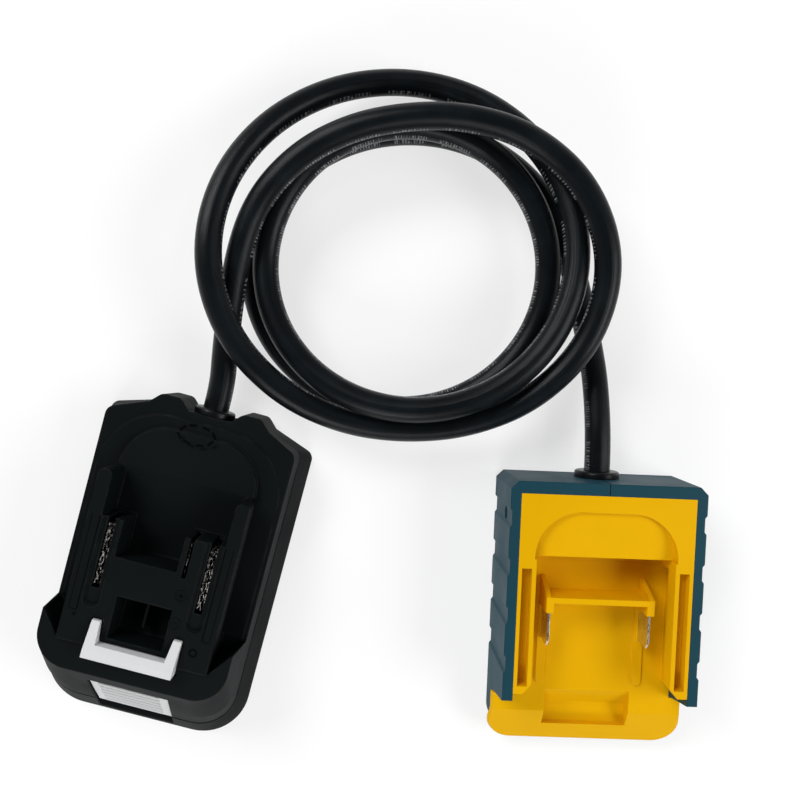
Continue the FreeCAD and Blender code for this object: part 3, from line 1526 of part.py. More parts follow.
def finish_part():
    """Checks every object and every sub-part, then writes one STEP file for each sub-part."""
    doc.recompute()
    for thing in doc.Objects:
        if "Invalid" in thing.State or "Error" in thing.State:
            raise RuntimeError(f"{thing.Label} failed: {thing.State}")
    for node, solid in PARTS.items():
        shape = solid.Shape
        if shape.isNull() or not shape.isValid() or shape.Volume <= 0:
            raise RuntimeError(f"{node} has no valid shape")
    os.makedirs("parts", exist_ok=True)
    for node, solid in PARTS.items():
        solid.Shape.exportStep(f"parts/{node}.step")
        bounds = solid.Shape.BoundBox
        print(
            f"{node}: {len(solid.Shape.Solids)} solids, {solid.Shape.Volume:.0f} mm3,"
            f" x {bounds.XMin:.1f} to {bounds.XMax:.1f}, y {bounds.YMin:.1f} to {bounds.YMax:.1f},"
            f" z {bounds.ZMin:.2f} to {bounds.ZMax:.1f}"
        )


make_plug_bottom()
make_plug_top()
make_contacts()
make_latch()
make_plug_cable_fittings()
make_receiver_half(1)
make_receiver_half(-1)
make_slide_plate()
make_terminals()
make_receiver_fittings()
make_stretches(*make_coil())
finish_part()
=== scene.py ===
"""The looks of a tool battery extension cable: a black dummy pack, a teal and yellow receiver, and the cable.

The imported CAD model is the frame. Pieces are drawn in millimetres in their own housing's frame, as the CAD
source draws them (x across, y towards the cable exit, z up), and set down with that housing.
"""

import math

import bmesh
import bpy
from mathutils import Matrix, Vector


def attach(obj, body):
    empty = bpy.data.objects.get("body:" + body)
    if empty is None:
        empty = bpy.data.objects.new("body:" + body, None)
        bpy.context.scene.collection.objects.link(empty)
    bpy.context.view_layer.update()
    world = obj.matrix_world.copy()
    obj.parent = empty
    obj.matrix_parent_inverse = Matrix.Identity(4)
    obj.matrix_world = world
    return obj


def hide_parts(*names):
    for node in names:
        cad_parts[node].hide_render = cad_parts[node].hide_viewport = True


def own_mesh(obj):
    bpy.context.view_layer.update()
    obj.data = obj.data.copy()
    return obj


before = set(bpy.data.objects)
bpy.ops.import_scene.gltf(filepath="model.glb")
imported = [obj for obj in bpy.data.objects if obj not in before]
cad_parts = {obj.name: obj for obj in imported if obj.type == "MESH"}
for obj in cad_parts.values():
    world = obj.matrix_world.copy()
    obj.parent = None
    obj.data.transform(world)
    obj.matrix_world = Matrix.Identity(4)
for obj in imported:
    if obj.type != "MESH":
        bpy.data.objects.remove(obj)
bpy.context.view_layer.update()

MM = 0.001
HOUSINGS = "housings"
LATCH = "latch"


def place(x, y, yaw):
    """Where a housing lies, from millimetres in its own frame to metres in the row frame."""
    turn = Matrix.Rotation(math.radians(yaw), 4, "Z")
    return Matrix.Scale(MM, 4) @ Matrix.Translation((x, y, 0)) @ turn


PLUG = place(-74.95, 1.7, -15.1)
RECEIVER = place(87.35, -44.6, -2.3)


# Camera, floor and lamps

CAMERA_PLACE = (0.0102, 0.0778, 0.3036)
CAMERA_TILT = 0.0363
CAMERA_ROLL = 0.0144
CAMERA_RANGE = (0.01, 20.0)
FOCAL_PIXELS = 754.9
PICTURE_PIXELS = 800
SENSOR = 36.0


def make_camera():
    """The photograph's camera, looking down on the floor."""
    data = bpy.data.cameras.new("camera")
    data.sensor_width = SENSOR
    data.lens = FOCAL_PIXELS / PICTURE_PIXELS * SENSOR
    data.clip_start, data.clip_end = CAMERA_RANGE
    camera = bpy.data.objects.new("camera", data)
    bpy.context.scene.collection.objects.link(camera)
    tilt = Matrix.Rotation(-CAMERA_TILT, 4, "X")
    roll = Matrix.Rotation(-CAMERA_ROLL, 4, "Y")
    camera.matrix_world = Matrix.Translation(CAMERA_PLACE) @ tilt @ roll
    bpy.context.scene.camera = camera


LAMP_TARGET = (0.01, 0.06, 0.0)

# Each lamp's place, its width and height, and its power, in metres and watts
LAMPS = {
    "key_lamp": ((-0.55, 0.75, 0.80), (0.60, 0.40), 8.8),
    "fill_lamp": ((0.85, -0.10, 0.65), (0.70, 0.40), 6.2),
    "front_lamp": ((-0.25, -0.85, 0.60), (0.60, 0.30), 4.8),
}


def make_lamp(name, spot, size, power):
    """A soft area lamp that points at the object's middle."""
    data = bpy.data.lights.new(name, "AREA")
    data.shape = "RECTANGLE"
    data.size, data.size_y = size
    data.energy = power
    lamp = bpy.data.objects.new(name, data)
    bpy.context.scene.collection.objects.link(lamp)
    away = Vector(LAMP_TARGET) - Vector(spot)
    lamp.matrix_world = Matrix.Translation(spot) @ away.to_track_quat("-Z", "Y").to_matrix().to_4x4()


# The world's light at the horizon and overhead, and the rise from which a direction counts as overhead
HORIZON = 0.55
ZENITH = 0.10
ZENITH_RISE = 0.85


def make_world():
    """A bright horizon under a darker sky, so that flat tops stay deep and walls and edges catch light."""
    world = bpy.data.worlds.new("studio")
    world.use_nodes = True
    bpy.context.scene.world = world
    tree = world.node_tree
    heading = tree.nodes.new("ShaderNodeTexCoord")
    parts = tree.nodes.new("ShaderNodeSeparateXYZ")
    level = tree.nodes.new("ShaderNodeMapRange")
    level.inputs["From Max"].default_value = ZENITH_RISE
    level.inputs["To Min"].default_value = HORIZON
    level.inputs["To Max"].default_value = ZENITH
    tree.nodes["Background"].inputs["Color"].default_value = (1, 1, 1, 1)
    tree.links.new(heading.outputs["Generated"], parts.inputs[0])
    tree.links.new(parts.outputs["Z"], level.inputs["Value"])
    tree.links.new(level.outputs["Result"], tree.nodes["Background"].inputs["Strength"])


PAPER_COLOUR = (0.97, 0.97, 0.97)
FLOOR_WHITENESS = 0.65
FLOOR_LEVEL = -0.0001
FLOOR_REACH = 3.0


def floor_paper():
    """White paper. To the camera and in reflections it is partly plain white, so that shadows stay faint."""
    finish = Finish("floor_paper", PAPER_COLOUR, 0.9, specular=0.0)
    path = finish.add("LightPath").outputs
    seen = finish.maths("MAXIMUM", path["Is Camera Ray"], path["Is Glossy Ray"])
    seen = finish.maths("MAXIMUM", seen, path["Is Transmission Ray"])
    share = finish.maths("MULTIPLY", seen, FLOOR_WHITENESS)
    plain = finish.add("Emission", {"Strength": 1.0}).outputs[0]
    paper = finish.add("MixShader", {0: share, 1: finish.shader.outputs[0], 2: plain})
    finish.tree.links.new(paper.outputs[0], finish.tree.nodes["Material Output"].inputs["Surface"])
    return finish.material


def make_studio():
    """The pale floor, and the light on it."""
    bm = bmesh.new()
    level = Matrix.Translation((0, 0, FLOOR_LEVEL))
    bmesh.ops.create_grid(bm, x_segments=1, y_segments=1, size=FLOOR_REACH, matrix=level)
    mesh = bpy.data.meshes.new("floor")
    bm.to_mesh(mesh)
    bm.free()
    floor = bpy.data.objects.new("floor", mesh)
    bpy.context.scene.collection.objects.link(floor)
    mesh.materials.append(floor_paper())
    for name, (spot, size, power) in LAMPS.items():
        make_lamp(name, spot, size, power)
    make_world()


# Finishes

BEVEL_SAMPLES = 6


class Finish:
    """A material, with short calls for the nodes that its surface needs."""

    def __init__(self, name, colour, roughness, specular=0.5, metallic=0.0):
        self.material = bpy.data.materials.new(name)
        self.material.use_nodes = True
        self.tree = self.material.node_tree
        self.shader = self.tree.nodes["Principled BSDF"]
        self.set("Base Color", (*colour, 1))
        self.set("Roughness", roughness)
        self.set("Specular IOR Level", specular)
        self.set("Metallic", metallic)

    def set(self, socket, value):
        """Gives one of the shader's sockets a value or a link."""
        self.feed(self.shader.inputs[socket], value)

    def feed(self, socket, value):
        """Gives any socket a value or a link."""
        if isinstance(value, bpy.types.NodeSocket):
            self.tree.links.new(value, socket)
        else:
            socket.default_value = value

    def add(self, kind, sockets=None, **settings):
        """A node with its settings, and values or links for its sockets."""
        node = self.tree.nodes.new("ShaderNode" + kind)
        for name, value in settings.items():
            setattr(node, name, value)
        for name, value in (sockets or {}).items():
            self.feed(node.inputs[name], value)
        return node

    def spot(self, output="Object"):
        """Where on the object a point lies."""
        return self.add("TexCoord").outputs[output]

    def noise(self, scale, detail=2.0, at=None):
        """Cloudy values from 0 to 1, with scale cells to the metre."""
        sockets = {"Vector": at or self.spot(), "Scale": scale, "Detail": detail}
        return self.add("TexNoise", sockets).outputs["Fac"]

    def span(self, value, low, high, out_low=0.0, out_high=1.0):
        """A value from low to high, spread to out_low to out_high."""
        sockets = {"Value": value, "From Min": low, "From Max": high, "To Min": out_low, "To Max": out_high}
        return self.add("MapRange", sockets, clamp=True).outputs["Result"]

    def maths(self, operation, *values):
        """The result of an operation on one or two values."""
        return self.add("Math", dict(enumerate(values)), operation=operation).outputs[0]

    def mixed(self, share, first, second):
        """One colour turning to another."""
        node = self.add("Mix", data_type="RGBA")
        self.feed(node.inputs["Factor"], share)
        for socket, value in (("A", first), ("B", second)):
            colours = [s for s in node.inputs if s.name == socket and s.type == "RGBA"]
            self.feed(colours[0], value if isinstance(value, bpy.types.NodeSocket) else (*value, 1))
        return [s for s in node.outputs if s.type == "RGBA"][0]

    def softened(self, radius):
        """The surface's direction with its edges rounded to a radius in metres."""
        return self.add("Bevel", {"Radius": radius}, samples=BEVEL_SAMPLES).outputs["Normal"]

    def bump(self, height, depth, normal=None):
        """Raises the surface by up to depth metres."""
        sockets = {"Height": height, "Distance": depth}
        if normal is not None:
            sockets["Normal"] = normal
        self.set("Normal", self.add("Bump", sockets).outputs["Normal"])


def shade(colour, factor):
    """A colour made darker or lighter."""
    return tuple(channel * factor for channel in colour)


# Noise cells to the metre on mouldings: streaks of colour, rubbed patches, handling marks and spark grain
FLOW_SCALE = 22.0
RUB_SCALE = 160.0
HANDLING_SCALE = 45.0
GRAIN_SCALE = 2400.0
GRAIN_DEPTH = 0.00002
RUB_PALENESS = 0.10


def moulded(name, colour, roughness, specular, edge=0.0004, wear=0.25):
    """Injection moulded plastic: fine spark grain, cloudy gloss, and rounded, slightly rubbed edges."""
    finish = Finish(name, colour, roughness, specular)
    flow = finish.noise(FLOW_SCALE, 3.0)
    tinted = finish.mixed(flow, shade(colour, 0.90), shade(colour, 1.10))
    soft = finish.softened(edge)
    flat = finish.add("NewGeometry").outputs["Normal"]
    meeting = finish.add("VectorMath", {0: soft, 1: flat}, operation="DOT_PRODUCT").outputs["Value"]
    rubbed = finish.span(meeting, 0.97, 0.80, 0.0, wear)
    patches = finish.span(finish.noise(RUB_SCALE, 4.0), 0.42, 0.62)
    worn = finish.maths("MULTIPLY", rubbed, patches)
    pale = tuple(channel + (1 - channel) * RUB_PALENESS for channel in colour)
    finish.set("Base Color", finish.mixed(worn, tinted, pale))
    handled = finish.noise(HANDLING_SCALE, 4.0)
    finish.set("Roughness", finish.span(handled, 0.35, 0.68, roughness - 0.05, roughness + 0.07))
    finish.bump(finish.noise(GRAIN_SCALE, 3.0), GRAIN_DEPTH, soft)
    return finish.material


# The cable's length and its tick marks: pitches in metres, widths as shares of their pitch, and the line's
# place and half width in turns round the cable
CABLE_LENGTH = 1.463
TICK_PITCH = 0.0013
TICK_SHARES = (0.15, 0.75)
WORD_PITCH = 0.021
WORD_SHARE = 0.72
PRINT_SIDE = 0.42
PRINT_HALF = 0.032
INK_COLOUR = (0.24, 0.25, 0.26)


def tick_marks(finish, around, along):
    """A broken line of ticks along the cable. Each tick's cell takes its own random width."""
    cell = finish.maths("DIVIDE", along, TICK_PITCH)
    number = finish.maths("FLOOR", cell)
    within = finish.maths("FRACT", cell)
    chance = finish.add("TexWhiteNoise", {"W": number}, noise_dimensions="1D").outputs["Value"]
    tick = finish.maths("LESS_THAN", within, finish.span(chance, 0.0, 1.0, *TICK_SHARES))
    word = finish.maths("FRACT", finish.maths("DIVIDE", along, WORD_PITCH))
    written = finish.maths("LESS_THAN", word, WORD_SHARE)
    aside = finish.maths("ABSOLUTE", finish.maths("SUBTRACT", around, PRINT_SIDE))
    line = finish.maths("LESS_THAN", aside, PRINT_HALF)
    return finish.maths("MULTIPLY", finish.maths("MULTIPLY", tick, written), line)


# Noise on the cable: fine lines that run along it, its ripple, the wear of its ticks, and dust
LINES_ROUND = 60.0
LINE_SCALE = 6.0
RIPPLE_SCALE = 180.0
TICK_WEAR_SCALE = 900.0
DUST_SCALE = 70.0
DUST_PALENESS = 1.8
SHEATH_DEPTH = 0.00005


def sheath(name, colour, roughness, specular):
    """The cable's rubber jacket: faint lines along it, a soft ripple, and worn tick marks."""
    finish = Finish(name, colour, roughness, specular)
    unrolled = finish.add("SeparateXYZ", {"Vector": finish.spot("UV")})
    around = unrolled.outputs["Y"]
    along = finish.maths("MULTIPLY", unrolled.outputs["X"], CABLE_LENGTH)
    lines = finish.add("CombineXYZ", {"X": finish.maths("MULTIPLY", around, LINES_ROUND), "Y": along})
    drawn = finish.noise(LINE_SCALE, 3.0, lines.outputs["Vector"])
    ripple = finish.noise(RIPPLE_SCALE, 2.0)
    ink = tick_marks(finish, around, along)
    worn = finish.span(finish.noise(TICK_WEAR_SCALE, 3.0), 0.38, 0.60, 0.15, 0.8)
    dust = finish.span(finish.noise(DUST_SCALE, 4.0), 0.45, 0.75)
    dusty = finish.mixed(dust, colour, shade(colour, DUST_PALENESS))
    finish.set("Base Color", finish.mixed(finish.maths("MULTIPLY", ink, worn), dusty, INK_COLOUR))
    finish.set("Roughness", finish.span(drawn, 0.3, 0.7, roughness - 0.06, roughness + 0.08))
    finish.bump(finish.maths("ADD", drawn, ripple), SHEATH_DEPTH)
    return finish.material


# Noise on plated metal: its stains, and its brushed grain, which is finer upwards; and its rounded edges
STAIN_SCALE = 240.0
STAIN_SHADE = 0.72
BRUSH_SCALE = 900.0
BRUSH_STRETCH = (1.0, 1.0, 14.0)
BRUSH_DEPTH = 0.00001
METAL_EDGE = 0.00015


def metal(name, colour, roughness):
    """Plated metal with a fine brushed grain and cloudy stains."""
    finish = Finish(name, colour, roughness, metallic=1.0)
    stains = finish.span(finish.noise(STAIN_SCALE, 4.0), 0.4, 0.7)
    finish.set("Base Color", finish.mixed(stains, colour, shade(colour, STAIN_SHADE)))
    stretched = finish.add("Mapping", {"Vector": finish.spot(), "Scale": BRUSH_STRETCH})
    brushed = finish.noise(BRUSH_SCALE, 3.0, stretched.outputs["Vector"])
    finish.set("Roughness", finish.span(brushed, 0.3, 0.7, roughness - 0.08, roughness + 0.1))
    finish.bump(brushed, BRUSH_DEPTH, finish.softened(METAL_EDGE))
    return finish.material


# Noise on the fork metal: its painted glints in bright specks, its cloudy gloss, and its lumps
GLINT_SCALE = 850.0
CLOUD_SCALE = 1400.0
LUMP_SCALE = 1100.0
LUMP_DEPTH = 0.0002


def shaded_glinting_metal(name, dark, bright, roughness):
    """Metal painted near black as shade from the slots it sits in, with painted glints in small bright
    specks.
    """
    finish = Finish(name, dark, roughness, metallic=0.7)
    painted_glints = finish.span(finish.noise(GLINT_SCALE, 2.0), 0.49, 0.57)
    finish.set("Base Color", finish.mixed(painted_glints, dark, bright))
    clouds = finish.noise(CLOUD_SCALE, 2.0)
    finish.set("Roughness", finish.span(clouds, 0.3, 0.7, roughness - 0.1, roughness + 0.1))
    finish.bump(finish.noise(LUMP_SCALE, 2.0), LUMP_DEPTH)
    return finish.material


def shadow(name, colour):
    """The dull dark of a groove or a seam."""
    return Finish(name, colour, 0.8, specular=0.05).material


BLACK = (0.0032, 0.0048, 0.0052)
TEAL = (0.0080, 0.0480, 0.0680)
YELLOW = (0.720, 0.385, 0.0006)
WHITE = (0.66, 0.665, 0.67)
RUBBER = (0.0038, 0.0052, 0.0064)
GLAND_BLACK = (0.0032, 0.0038, 0.0043)
GREY = (0.060, 0.062, 0.066)

FINISHES = {
    "black_shell": moulded("black_gloss_moulding", BLACK, 0.60, 0.07, edge=0.0011, wear=0.10),
    "teal_shell": moulded("teal_satin_moulding", TEAL, 0.52, 0.12, edge=0.0007, wear=0.15),
    "yellow_plate": moulded("yellow_satin_moulding", YELLOW, 0.45, 0.05, edge=0.0003),
    "latch_white": moulded("white_nylon", WHITE, 0.40, 0.30),
    "cable_jacket": sheath("black_rubber_sheath", RUBBER, 0.24, 0.13),
    "gland_rubber": moulded("black_gland_moulding", GLAND_BLACK, 0.32, 0.20, edge=0.0008, wear=0.1),
    "contact_metal": metal("tinned_bronze", (0.78, 0.75, 0.70), 0.28),
    # The forks' near-black colour is painted shade, and their bright specks are painted glints
    "fork_metal": shaded_glinting_metal("fork_bronze_painted_shade_glints", (0.030, 0.027, 0.024), (0.90, 0.86, 0.80), 0.30),
    "screw_steel": metal("zinc_plated_steel", (0.58, 0.58, 0.60), 0.35),
    "spring_steel": metal("spring_wire", (0.50, 0.50, 0.52), 0.30),
    "inner_plastic": moulded("grey_nylon", GREY, 0.5, 0.35),
    "lead_red": moulded("red_lead_insulation", (0.42, 0.018, 0.014), 0.42, 0.35, edge=0.0002),
    "lead_black": moulded("black_lead_insulation", (0.012, 0.012, 0.013), 0.42, 0.35, edge=0.0002),
    "recess": shadow("shaded_recess", (0.0006, 0.0008, 0.0008)),
    "teal_recess": shadow("shaded_seam", (0.0020, 0.0090, 0.0130)),
}

NODE_FINISHES = {
    "plug_bottom_shell": "black_shell",
    "plug_top_shell": "black_shell",
    # The forks take the metal that is painted dark as shade, with painted glints
    "contact_positive": "fork_metal",
    "contact_negative": "fork_metal",
    "contact_signal": "fork_metal",
    "contact_carrier": "inner_plastic",
    "carrier_screws": "screw_steel",
    "latch": "latch_white",
    "latch_springs": "spring_steel",
    "plug_grommet": "gland_rubber",
    "plug_cable_clamp": "inner_plastic",
    "plug_clamp_screws": "screw_steel",
    "plug_shell_screws": "screw_steel",
    "plug_cable_tail": "cable_jacket",
    "plug_lead_positive": "lead_red",
    "plug_lead_negative": "lead_black",
    "receiver_right_shell": "teal_shell",
    "receiver_left_shell": "teal_shell",
    "slide_plate": "yellow_plate",
    "blade_positive": "contact_metal",
    "blade_negative": "contact_metal",
    "terminal_bridge": "yellow_plate",
    "receiver_grommet": "gland_rubber",
    "receiver_cable_clamp": "inner_plastic",
    "receiver_clamp_screws": "screw_steel",
    "receiver_base_screws": "screw_steel",
    "receiver_side_screw": "screw_steel",
    "receiver_cable_tail": "cable_jacket",
    "receiver_lead_positive": "lead_red",
    "receiver_lead_negative": "lead_black",
    "cable_coil": "cable_jacket",
    "cable_plug_end": "cable_jacket",
    "cable_receiver_end": "cable_jacket",
}


def dress_nodes():
    """Every CAD node takes its finish."""
    for name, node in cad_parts.items():
        node.data.materials.clear()
        node.data.materials.append(FINISHES[NODE_FINISHES[name]])


def squash_springs():
    """The springs under the latch get their own copy of their mesh."""
    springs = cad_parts["latch_springs"]
    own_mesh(springs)


# Cable

CABLE_RADIUS = 4.9 * MM
COIL_CENTRE = (16.4, 117.7)
COIL_STEPS = 16
QUARTERS = 4

# The coil at every quarter turn, clockwise from the left: how far it reaches from its centre, and the height
# of the cable's middle
COIL_QUARTERS = [
    (62.0, 21.5), (51.0, 29.5), (74.5, 27.0), (61.0, 14.5),
    (71.5, 29.5), (71.5, 8.5), (63.5, 22.5), (53.5, 24.5),
    (53.0, 15.0), (52.5, 17.5), (55.0, 12.5), (54.0, 6.0),
    (59.5, 5.5), (53.5, 5.5), (65.5, 5.5),
]

# The stretches between the housings and the coil, and how far each runs straight out of its gland
STRETCH_RUN = 10.0
PLUG_STRETCH = [(-52.6, 85.2, 13.6)]
RECEIVER_STRETCH = [(90.4, 83.2, 6.5), (91.3, 67.2, 10.0)]
PLUG_EXIT = (1.5, 64.6, 11.0)
RECEIVER_EXIT = (0.0, 84.6, 13.0)

# How finely the cable is drawn: steps between two knots, and steps in a quarter of its round
KNOT_STEPS = 10
ROUND_STEPS = 8


def eased(before, start, end, after, share):
    """A value between start and end that runs on smoothly from its neighbours."""
    line = 2 * start + (end - before) * share
    bend = (2 * before - 5 * start + 4 * end - after) * share ** 2
    twist = (3 * start - before - 3 * end + after) * share ** 3
    return (line + bend + twist) / 2


def coil_points():
    """The coil's control points. They stand outside the round that they shape, as the spline cuts corners."""
    first = [2 * a - b for a, b in zip(COIL_QUARTERS[0], COIL_QUARTERS[1])]
    last = [2 * a - b for a, b in zip(COIL_QUARTERS[-1], COIL_QUARTERS[-2])]
    stations = [first, *COIL_QUARTERS, last]
    per_quarter = COIL_STEPS // QUARTERS
    outside = 1 / math.cos(math.pi / COIL_STEPS)
    points = []
    for step in range(per_quarter * (len(COIL_QUARTERS) - 1) + 1):
        quarter = min(step // per_quarter, len(COIL_QUARTERS) - 2)
        share = step / per_quarter - quarter
        around = stations[quarter:quarter + 4]
        reach = eased(*[station[0] for station in around], share) * outside
        height = eased(*[station[1] for station in around], share)
        angle = math.pi * (1 - step / per_quarter / 2)
        across = COIL_CENTRE[0] + reach * math.cos(angle)
        along = COIL_CENTRE[1] + reach * math.sin(angle)
        points.append(Vector((across, along, height)) * MM)
    return points


def draw_tube(points):
    """The cable's mesh along its control points, and the line through its middle."""
    curve = bpy.data.curves.new("cable_line", "CURVE")
    curve.dimensions = "3D"
    spline = curve.splines.new("NURBS")
    spline.points.add(len(points) - 1)
    for knot, point in zip(spline.points, points):
        knot.co = (*point, 1)
    spline.order_u = 3
    spline.use_endpoint_u = True
    curve.resolution_u = KNOT_STEPS
    drawn = bpy.data.objects.new("cable_line", curve)
    bpy.context.scene.collection.objects.link(drawn)
    line = bpy.data.meshes.new_from_object(drawn)
    path = [tuple(vertex.co) for vertex in line.vertices]
    curve.bevel_depth = CABLE_RADIUS
    curve.bevel_resolution = ROUND_STEPS
    curve.use_fill_caps = True
    mesh = bpy.data.meshes.new_from_object(drawn)
    bpy.data.objects.remove(drawn)
    return mesh, path


def make_cable():
    """The cable from gland to gland, as one spline."""
    run = Vector((0, STRETCH_RUN, 0))
    plug_exit = PLUG @ Vector(PLUG_EXIT)
    plug_run = PLUG @ (Vector(PLUG_EXIT) + run)
    receiver_exit = RECEIVER @ Vector(RECEIVER_EXIT)
    receiver_run = RECEIVER @ (Vector(RECEIVER_EXIT) + run)
    plug_side = [Vector(point) * MM for point in PLUG_STRETCH]
    receiver_side = [Vector(point) * MM for point in RECEIVER_STRETCH]
    mesh, path = draw_tube([
        plug_exit, plug_run, *plug_side, *coil_points(), *receiver_side, receiver_run, receiver_exit,
    ])
    mesh.name = "cable"
    cable = bpy.data.objects.new("cable", mesh)
    bpy.context.scene.collection.objects.link(cable)
    mesh.materials.clear()
    mesh.materials.append(FINISHES["cable_jacket"])
    mesh.shade_smooth()
    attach(cable, HOUSINGS)
    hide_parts("cable_coil", "cable_plug_end", "cable_receiver_end")


# Ways to draw pieces

# How near two corners merge, in millimetres, and the steps round a ring and across a rounded edge
MERGE = 0.001
RING_STEPS = 32
EDGE_STEPS = 3


def finished(name, bm, unit, slot, body=HOUSINGS, finish=None):
    """Makes a drawn shape a piece: set down with its housing, given its finish, and riding on its body."""
    bmesh.ops.remove_doubles(bm, verts=bm.verts, dist=MERGE)
    bmesh.ops.recalc_face_normals(bm, faces=bm.faces)
    bmesh.ops.transform(bm, matrix=unit, verts=bm.verts)
    mesh = bpy.data.meshes.new(name)
    bm.to_mesh(mesh)
    bm.free()
    thing = bpy.data.objects.new(name, mesh)
    bpy.context.scene.collection.objects.link(thing)
    mesh.materials.append(FINISHES[finish or slot])
    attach(thing, body)


def add_bar(bm, centre, size, turn=0.0, edge=0.0):
    """A bar that stands on its centre's level, with its sides along x, y and z before it turns."""
    stand = Matrix.Translation((centre[0], centre[1], centre[2] + size[2] / 2))
    spin = Matrix.Rotation(turn, 4, "Z")
    made = bmesh.ops.create_cube(bm, size=1.0, matrix=stand @ spin @ Matrix.Diagonal((*size, 1)))
    if edge:
        edges = list({e for v in made["verts"] for e in v.link_edges})
        bmesh.ops.bevel(
            bm, geom=edges, offset=edge, segments=EDGE_STEPS, profile=0.5, affect="EDGES", material=-1,
        )


def add_block(bm, low, high):
    """A block between two opposite corners."""
    middle = [(a + b) / 2 for a, b in zip(low, high)]
    sides = [b - a for a, b in zip(low, high)]
    bmesh.ops.create_cube(bm, size=1.0, matrix=Matrix.Translation(middle) @ Matrix.Diagonal((*sides, 1)))


def add_ring(bm, centre, radius, width, height):
    """A flat ring that stands on its centre's level."""
    inner, outer = radius - width / 2, radius + width / 2
    corners = [(inner, 0), (outer, 0), (outer, height), (inner, height)]
    verts = [bm.verts.new((centre[0] + out, centre[1], centre[2] + up)) for out, up in corners]
    edges = [bm.edges.new((a, b)) for a, b in zip(verts, verts[1:] + verts[:1])]
    bmesh.ops.spin(
        bm, geom=verts + edges, cent=centre, axis=(0, 0, 1), angle=math.tau, steps=RING_STEPS,
        use_merge=True,
    )


def drawn_out(bm, rim, move):
    """Draws an edge out to a face, and gives the face's far edge."""
    made = bmesh.ops.extrude_edge_only(bm, edges=[rim])["geom"]
    ends = [v for v in made if isinstance(v, bmesh.types.BMVert)]
    bmesh.ops.translate(bm, vec=move, verts=ends)
    return next(e for e in made if isinstance(e, bmesh.types.BMEdge) and all(v in ends for v in e.verts))


# Pieces of the dummy pack

# The levels of the contact block's top, of the low dome's deck and of the shoulder round it
PLATEAU = 37.2
DECK = 23.0
SHOULDER = 20.0

MARK_HEIGHT = 0.15
PLUS_MARK = (11.7, -0.3)
MINUS_MARK = (11.9, -10.4)
MARK_RADIUS = 2.0
MARK_LINE = 0.4
MARK_STROKE = (2.0, 0.5, MARK_HEIGHT)


def make_polarity_marks():
    """A ringed plus and a ringed minus, raised on the block."""
    bm = bmesh.new()
    for spot, turns in ((PLUS_MARK, (0.0, math.pi / 2)), (MINUS_MARK, (0.0,))):
        centre = (*spot, PLATEAU)
        add_ring(bm, centre, MARK_RADIUS, MARK_LINE, MARK_HEIGHT)
        for turn in turns:
            add_bar(bm, centre, MARK_STROKE, turn)
    finished("polarity_marks", bm, PLUG, "black_shell")


# The leaves of the main contacts, and how far their waves stand off the middle of a contact's slot
CONTACT_X = 18.8
WAVE_STEPS = 50
WAVE_FINGERS = 5
WAVE_MIDDLE = 0.36
WAVE_SWING = 0.26
LEAF_LEVELS = (21.0, 35.9)
LEAF_FRONT = -3.9
LEAF_REAR = 18.0
LEAF_THICKNESS = 0.16


def add_leaf(bm, x, side):
    """A springy leaf: it bows towards the middle of its slot and flares at each finger's tip."""
    before = WAVE_MIDDLE + WAVE_SWING
    rim = bm.edges.new([bm.verts.new((x + side * before, LEAF_FRONT, level)) for level in LEAF_LEVELS])
    for step in range(1, WAVE_STEPS + 1):
        phase = WAVE_FINGERS * math.tau * step / WAVE_STEPS
        aside = WAVE_MIDDLE + WAVE_SWING * math.cos(phase)
        rim = drawn_out(bm, rim, Vector((side * (aside - before), (LEAF_REAR - LEAF_FRONT) / WAVE_STEPS, 0)))
        before = aside


def make_contact_leaves():
    """The waved leaves inside the two main forked contacts, in the forks' finish of painted shade and painted
    glints.
    """
    for name, x in (("leaves_positive", CONTACT_X), ("leaves_negative", -CONTACT_X)):
        bm = bmesh.new()
        for side in (-1, 1):
            add_leaf(bm, x, side)
        bmesh.ops.solidify(bm, geom=bm.faces[:], thickness=LEAF_THICKNESS)
        finished(name, bm, PLUG, "contact_metal", finish="fork_metal")


DASH_CENTRE = (-0.8, 54.2)
DASH_REACH = (6.5, 3.4)
DASH_COUNT = 8
DASH_SIZE = (2.8, 1.0, 0.06)


def make_dash_ring():
    """The ring of short dashes moulded over the rear edge of the dome, drawn as thin dark bars of painted
    shade for their hollows.
    """
    bm = bmesh.new()
    for i in range(DASH_COUNT):
        angle = math.tau * (i + 0.5) / DASH_COUNT
        x = DASH_CENTRE[0] + DASH_REACH[0] * math.cos(angle)
        y = DASH_CENTRE[1] + DASH_REACH[1] * math.sin(angle)
        level = DECK if y < DASH_CENTRE[1] else SHOULDER
        heading = math.atan2(DASH_REACH[1] * math.cos(angle), -DASH_REACH[0] * math.sin(angle))
        add_bar(bm, (x, y, level), DASH_SIZE, heading)
    finished("dash_ring", bm, PLUG, "black_shell", finish="recess")


RIDGE_COUNT = 6
LOWEST_RIDGE = (0, -56.5, 10.0)
HIGHEST_RIDGE = (0, -43.4, 26.5)
RIDGE_SIZE = (23.0, 0.9, 0.7)
RIDGE_EDGE = 0.2


def make_button_ridges():
    """Grip ridges across the push-button's sloping face."""
    bm = bmesh.new()
    for i in range(RIDGE_COUNT):
        spot = Vector(LOWEST_RIDGE).lerp(Vector(HIGHEST_RIDGE), i / (RIDGE_COUNT - 1))
        add_bar(bm, spot, RIDGE_SIZE, edge=RIDGE_EDGE)
    finished("button_ridges", bm, PLUG, "latch_white", LATCH)


# The grooves' reach from the middle and their widths, and the round marks' places, radii and widths
RAIL_GROOVES = ((22.9, 0.45), (25.7, 0.25))
RAIL_GROOVE_ENDS = (-14.2, 20.4)
CROSS_GROOVE = (-14.4, -14.1)
GROOVE_HEIGHT = 0.03
ROUND_MARKS = (((20.9, -19.0), 1.25, 0.7), ((-23.3, -15.9), 0.45, 0.4))
ROUND_MARK_HEIGHT = 0.04


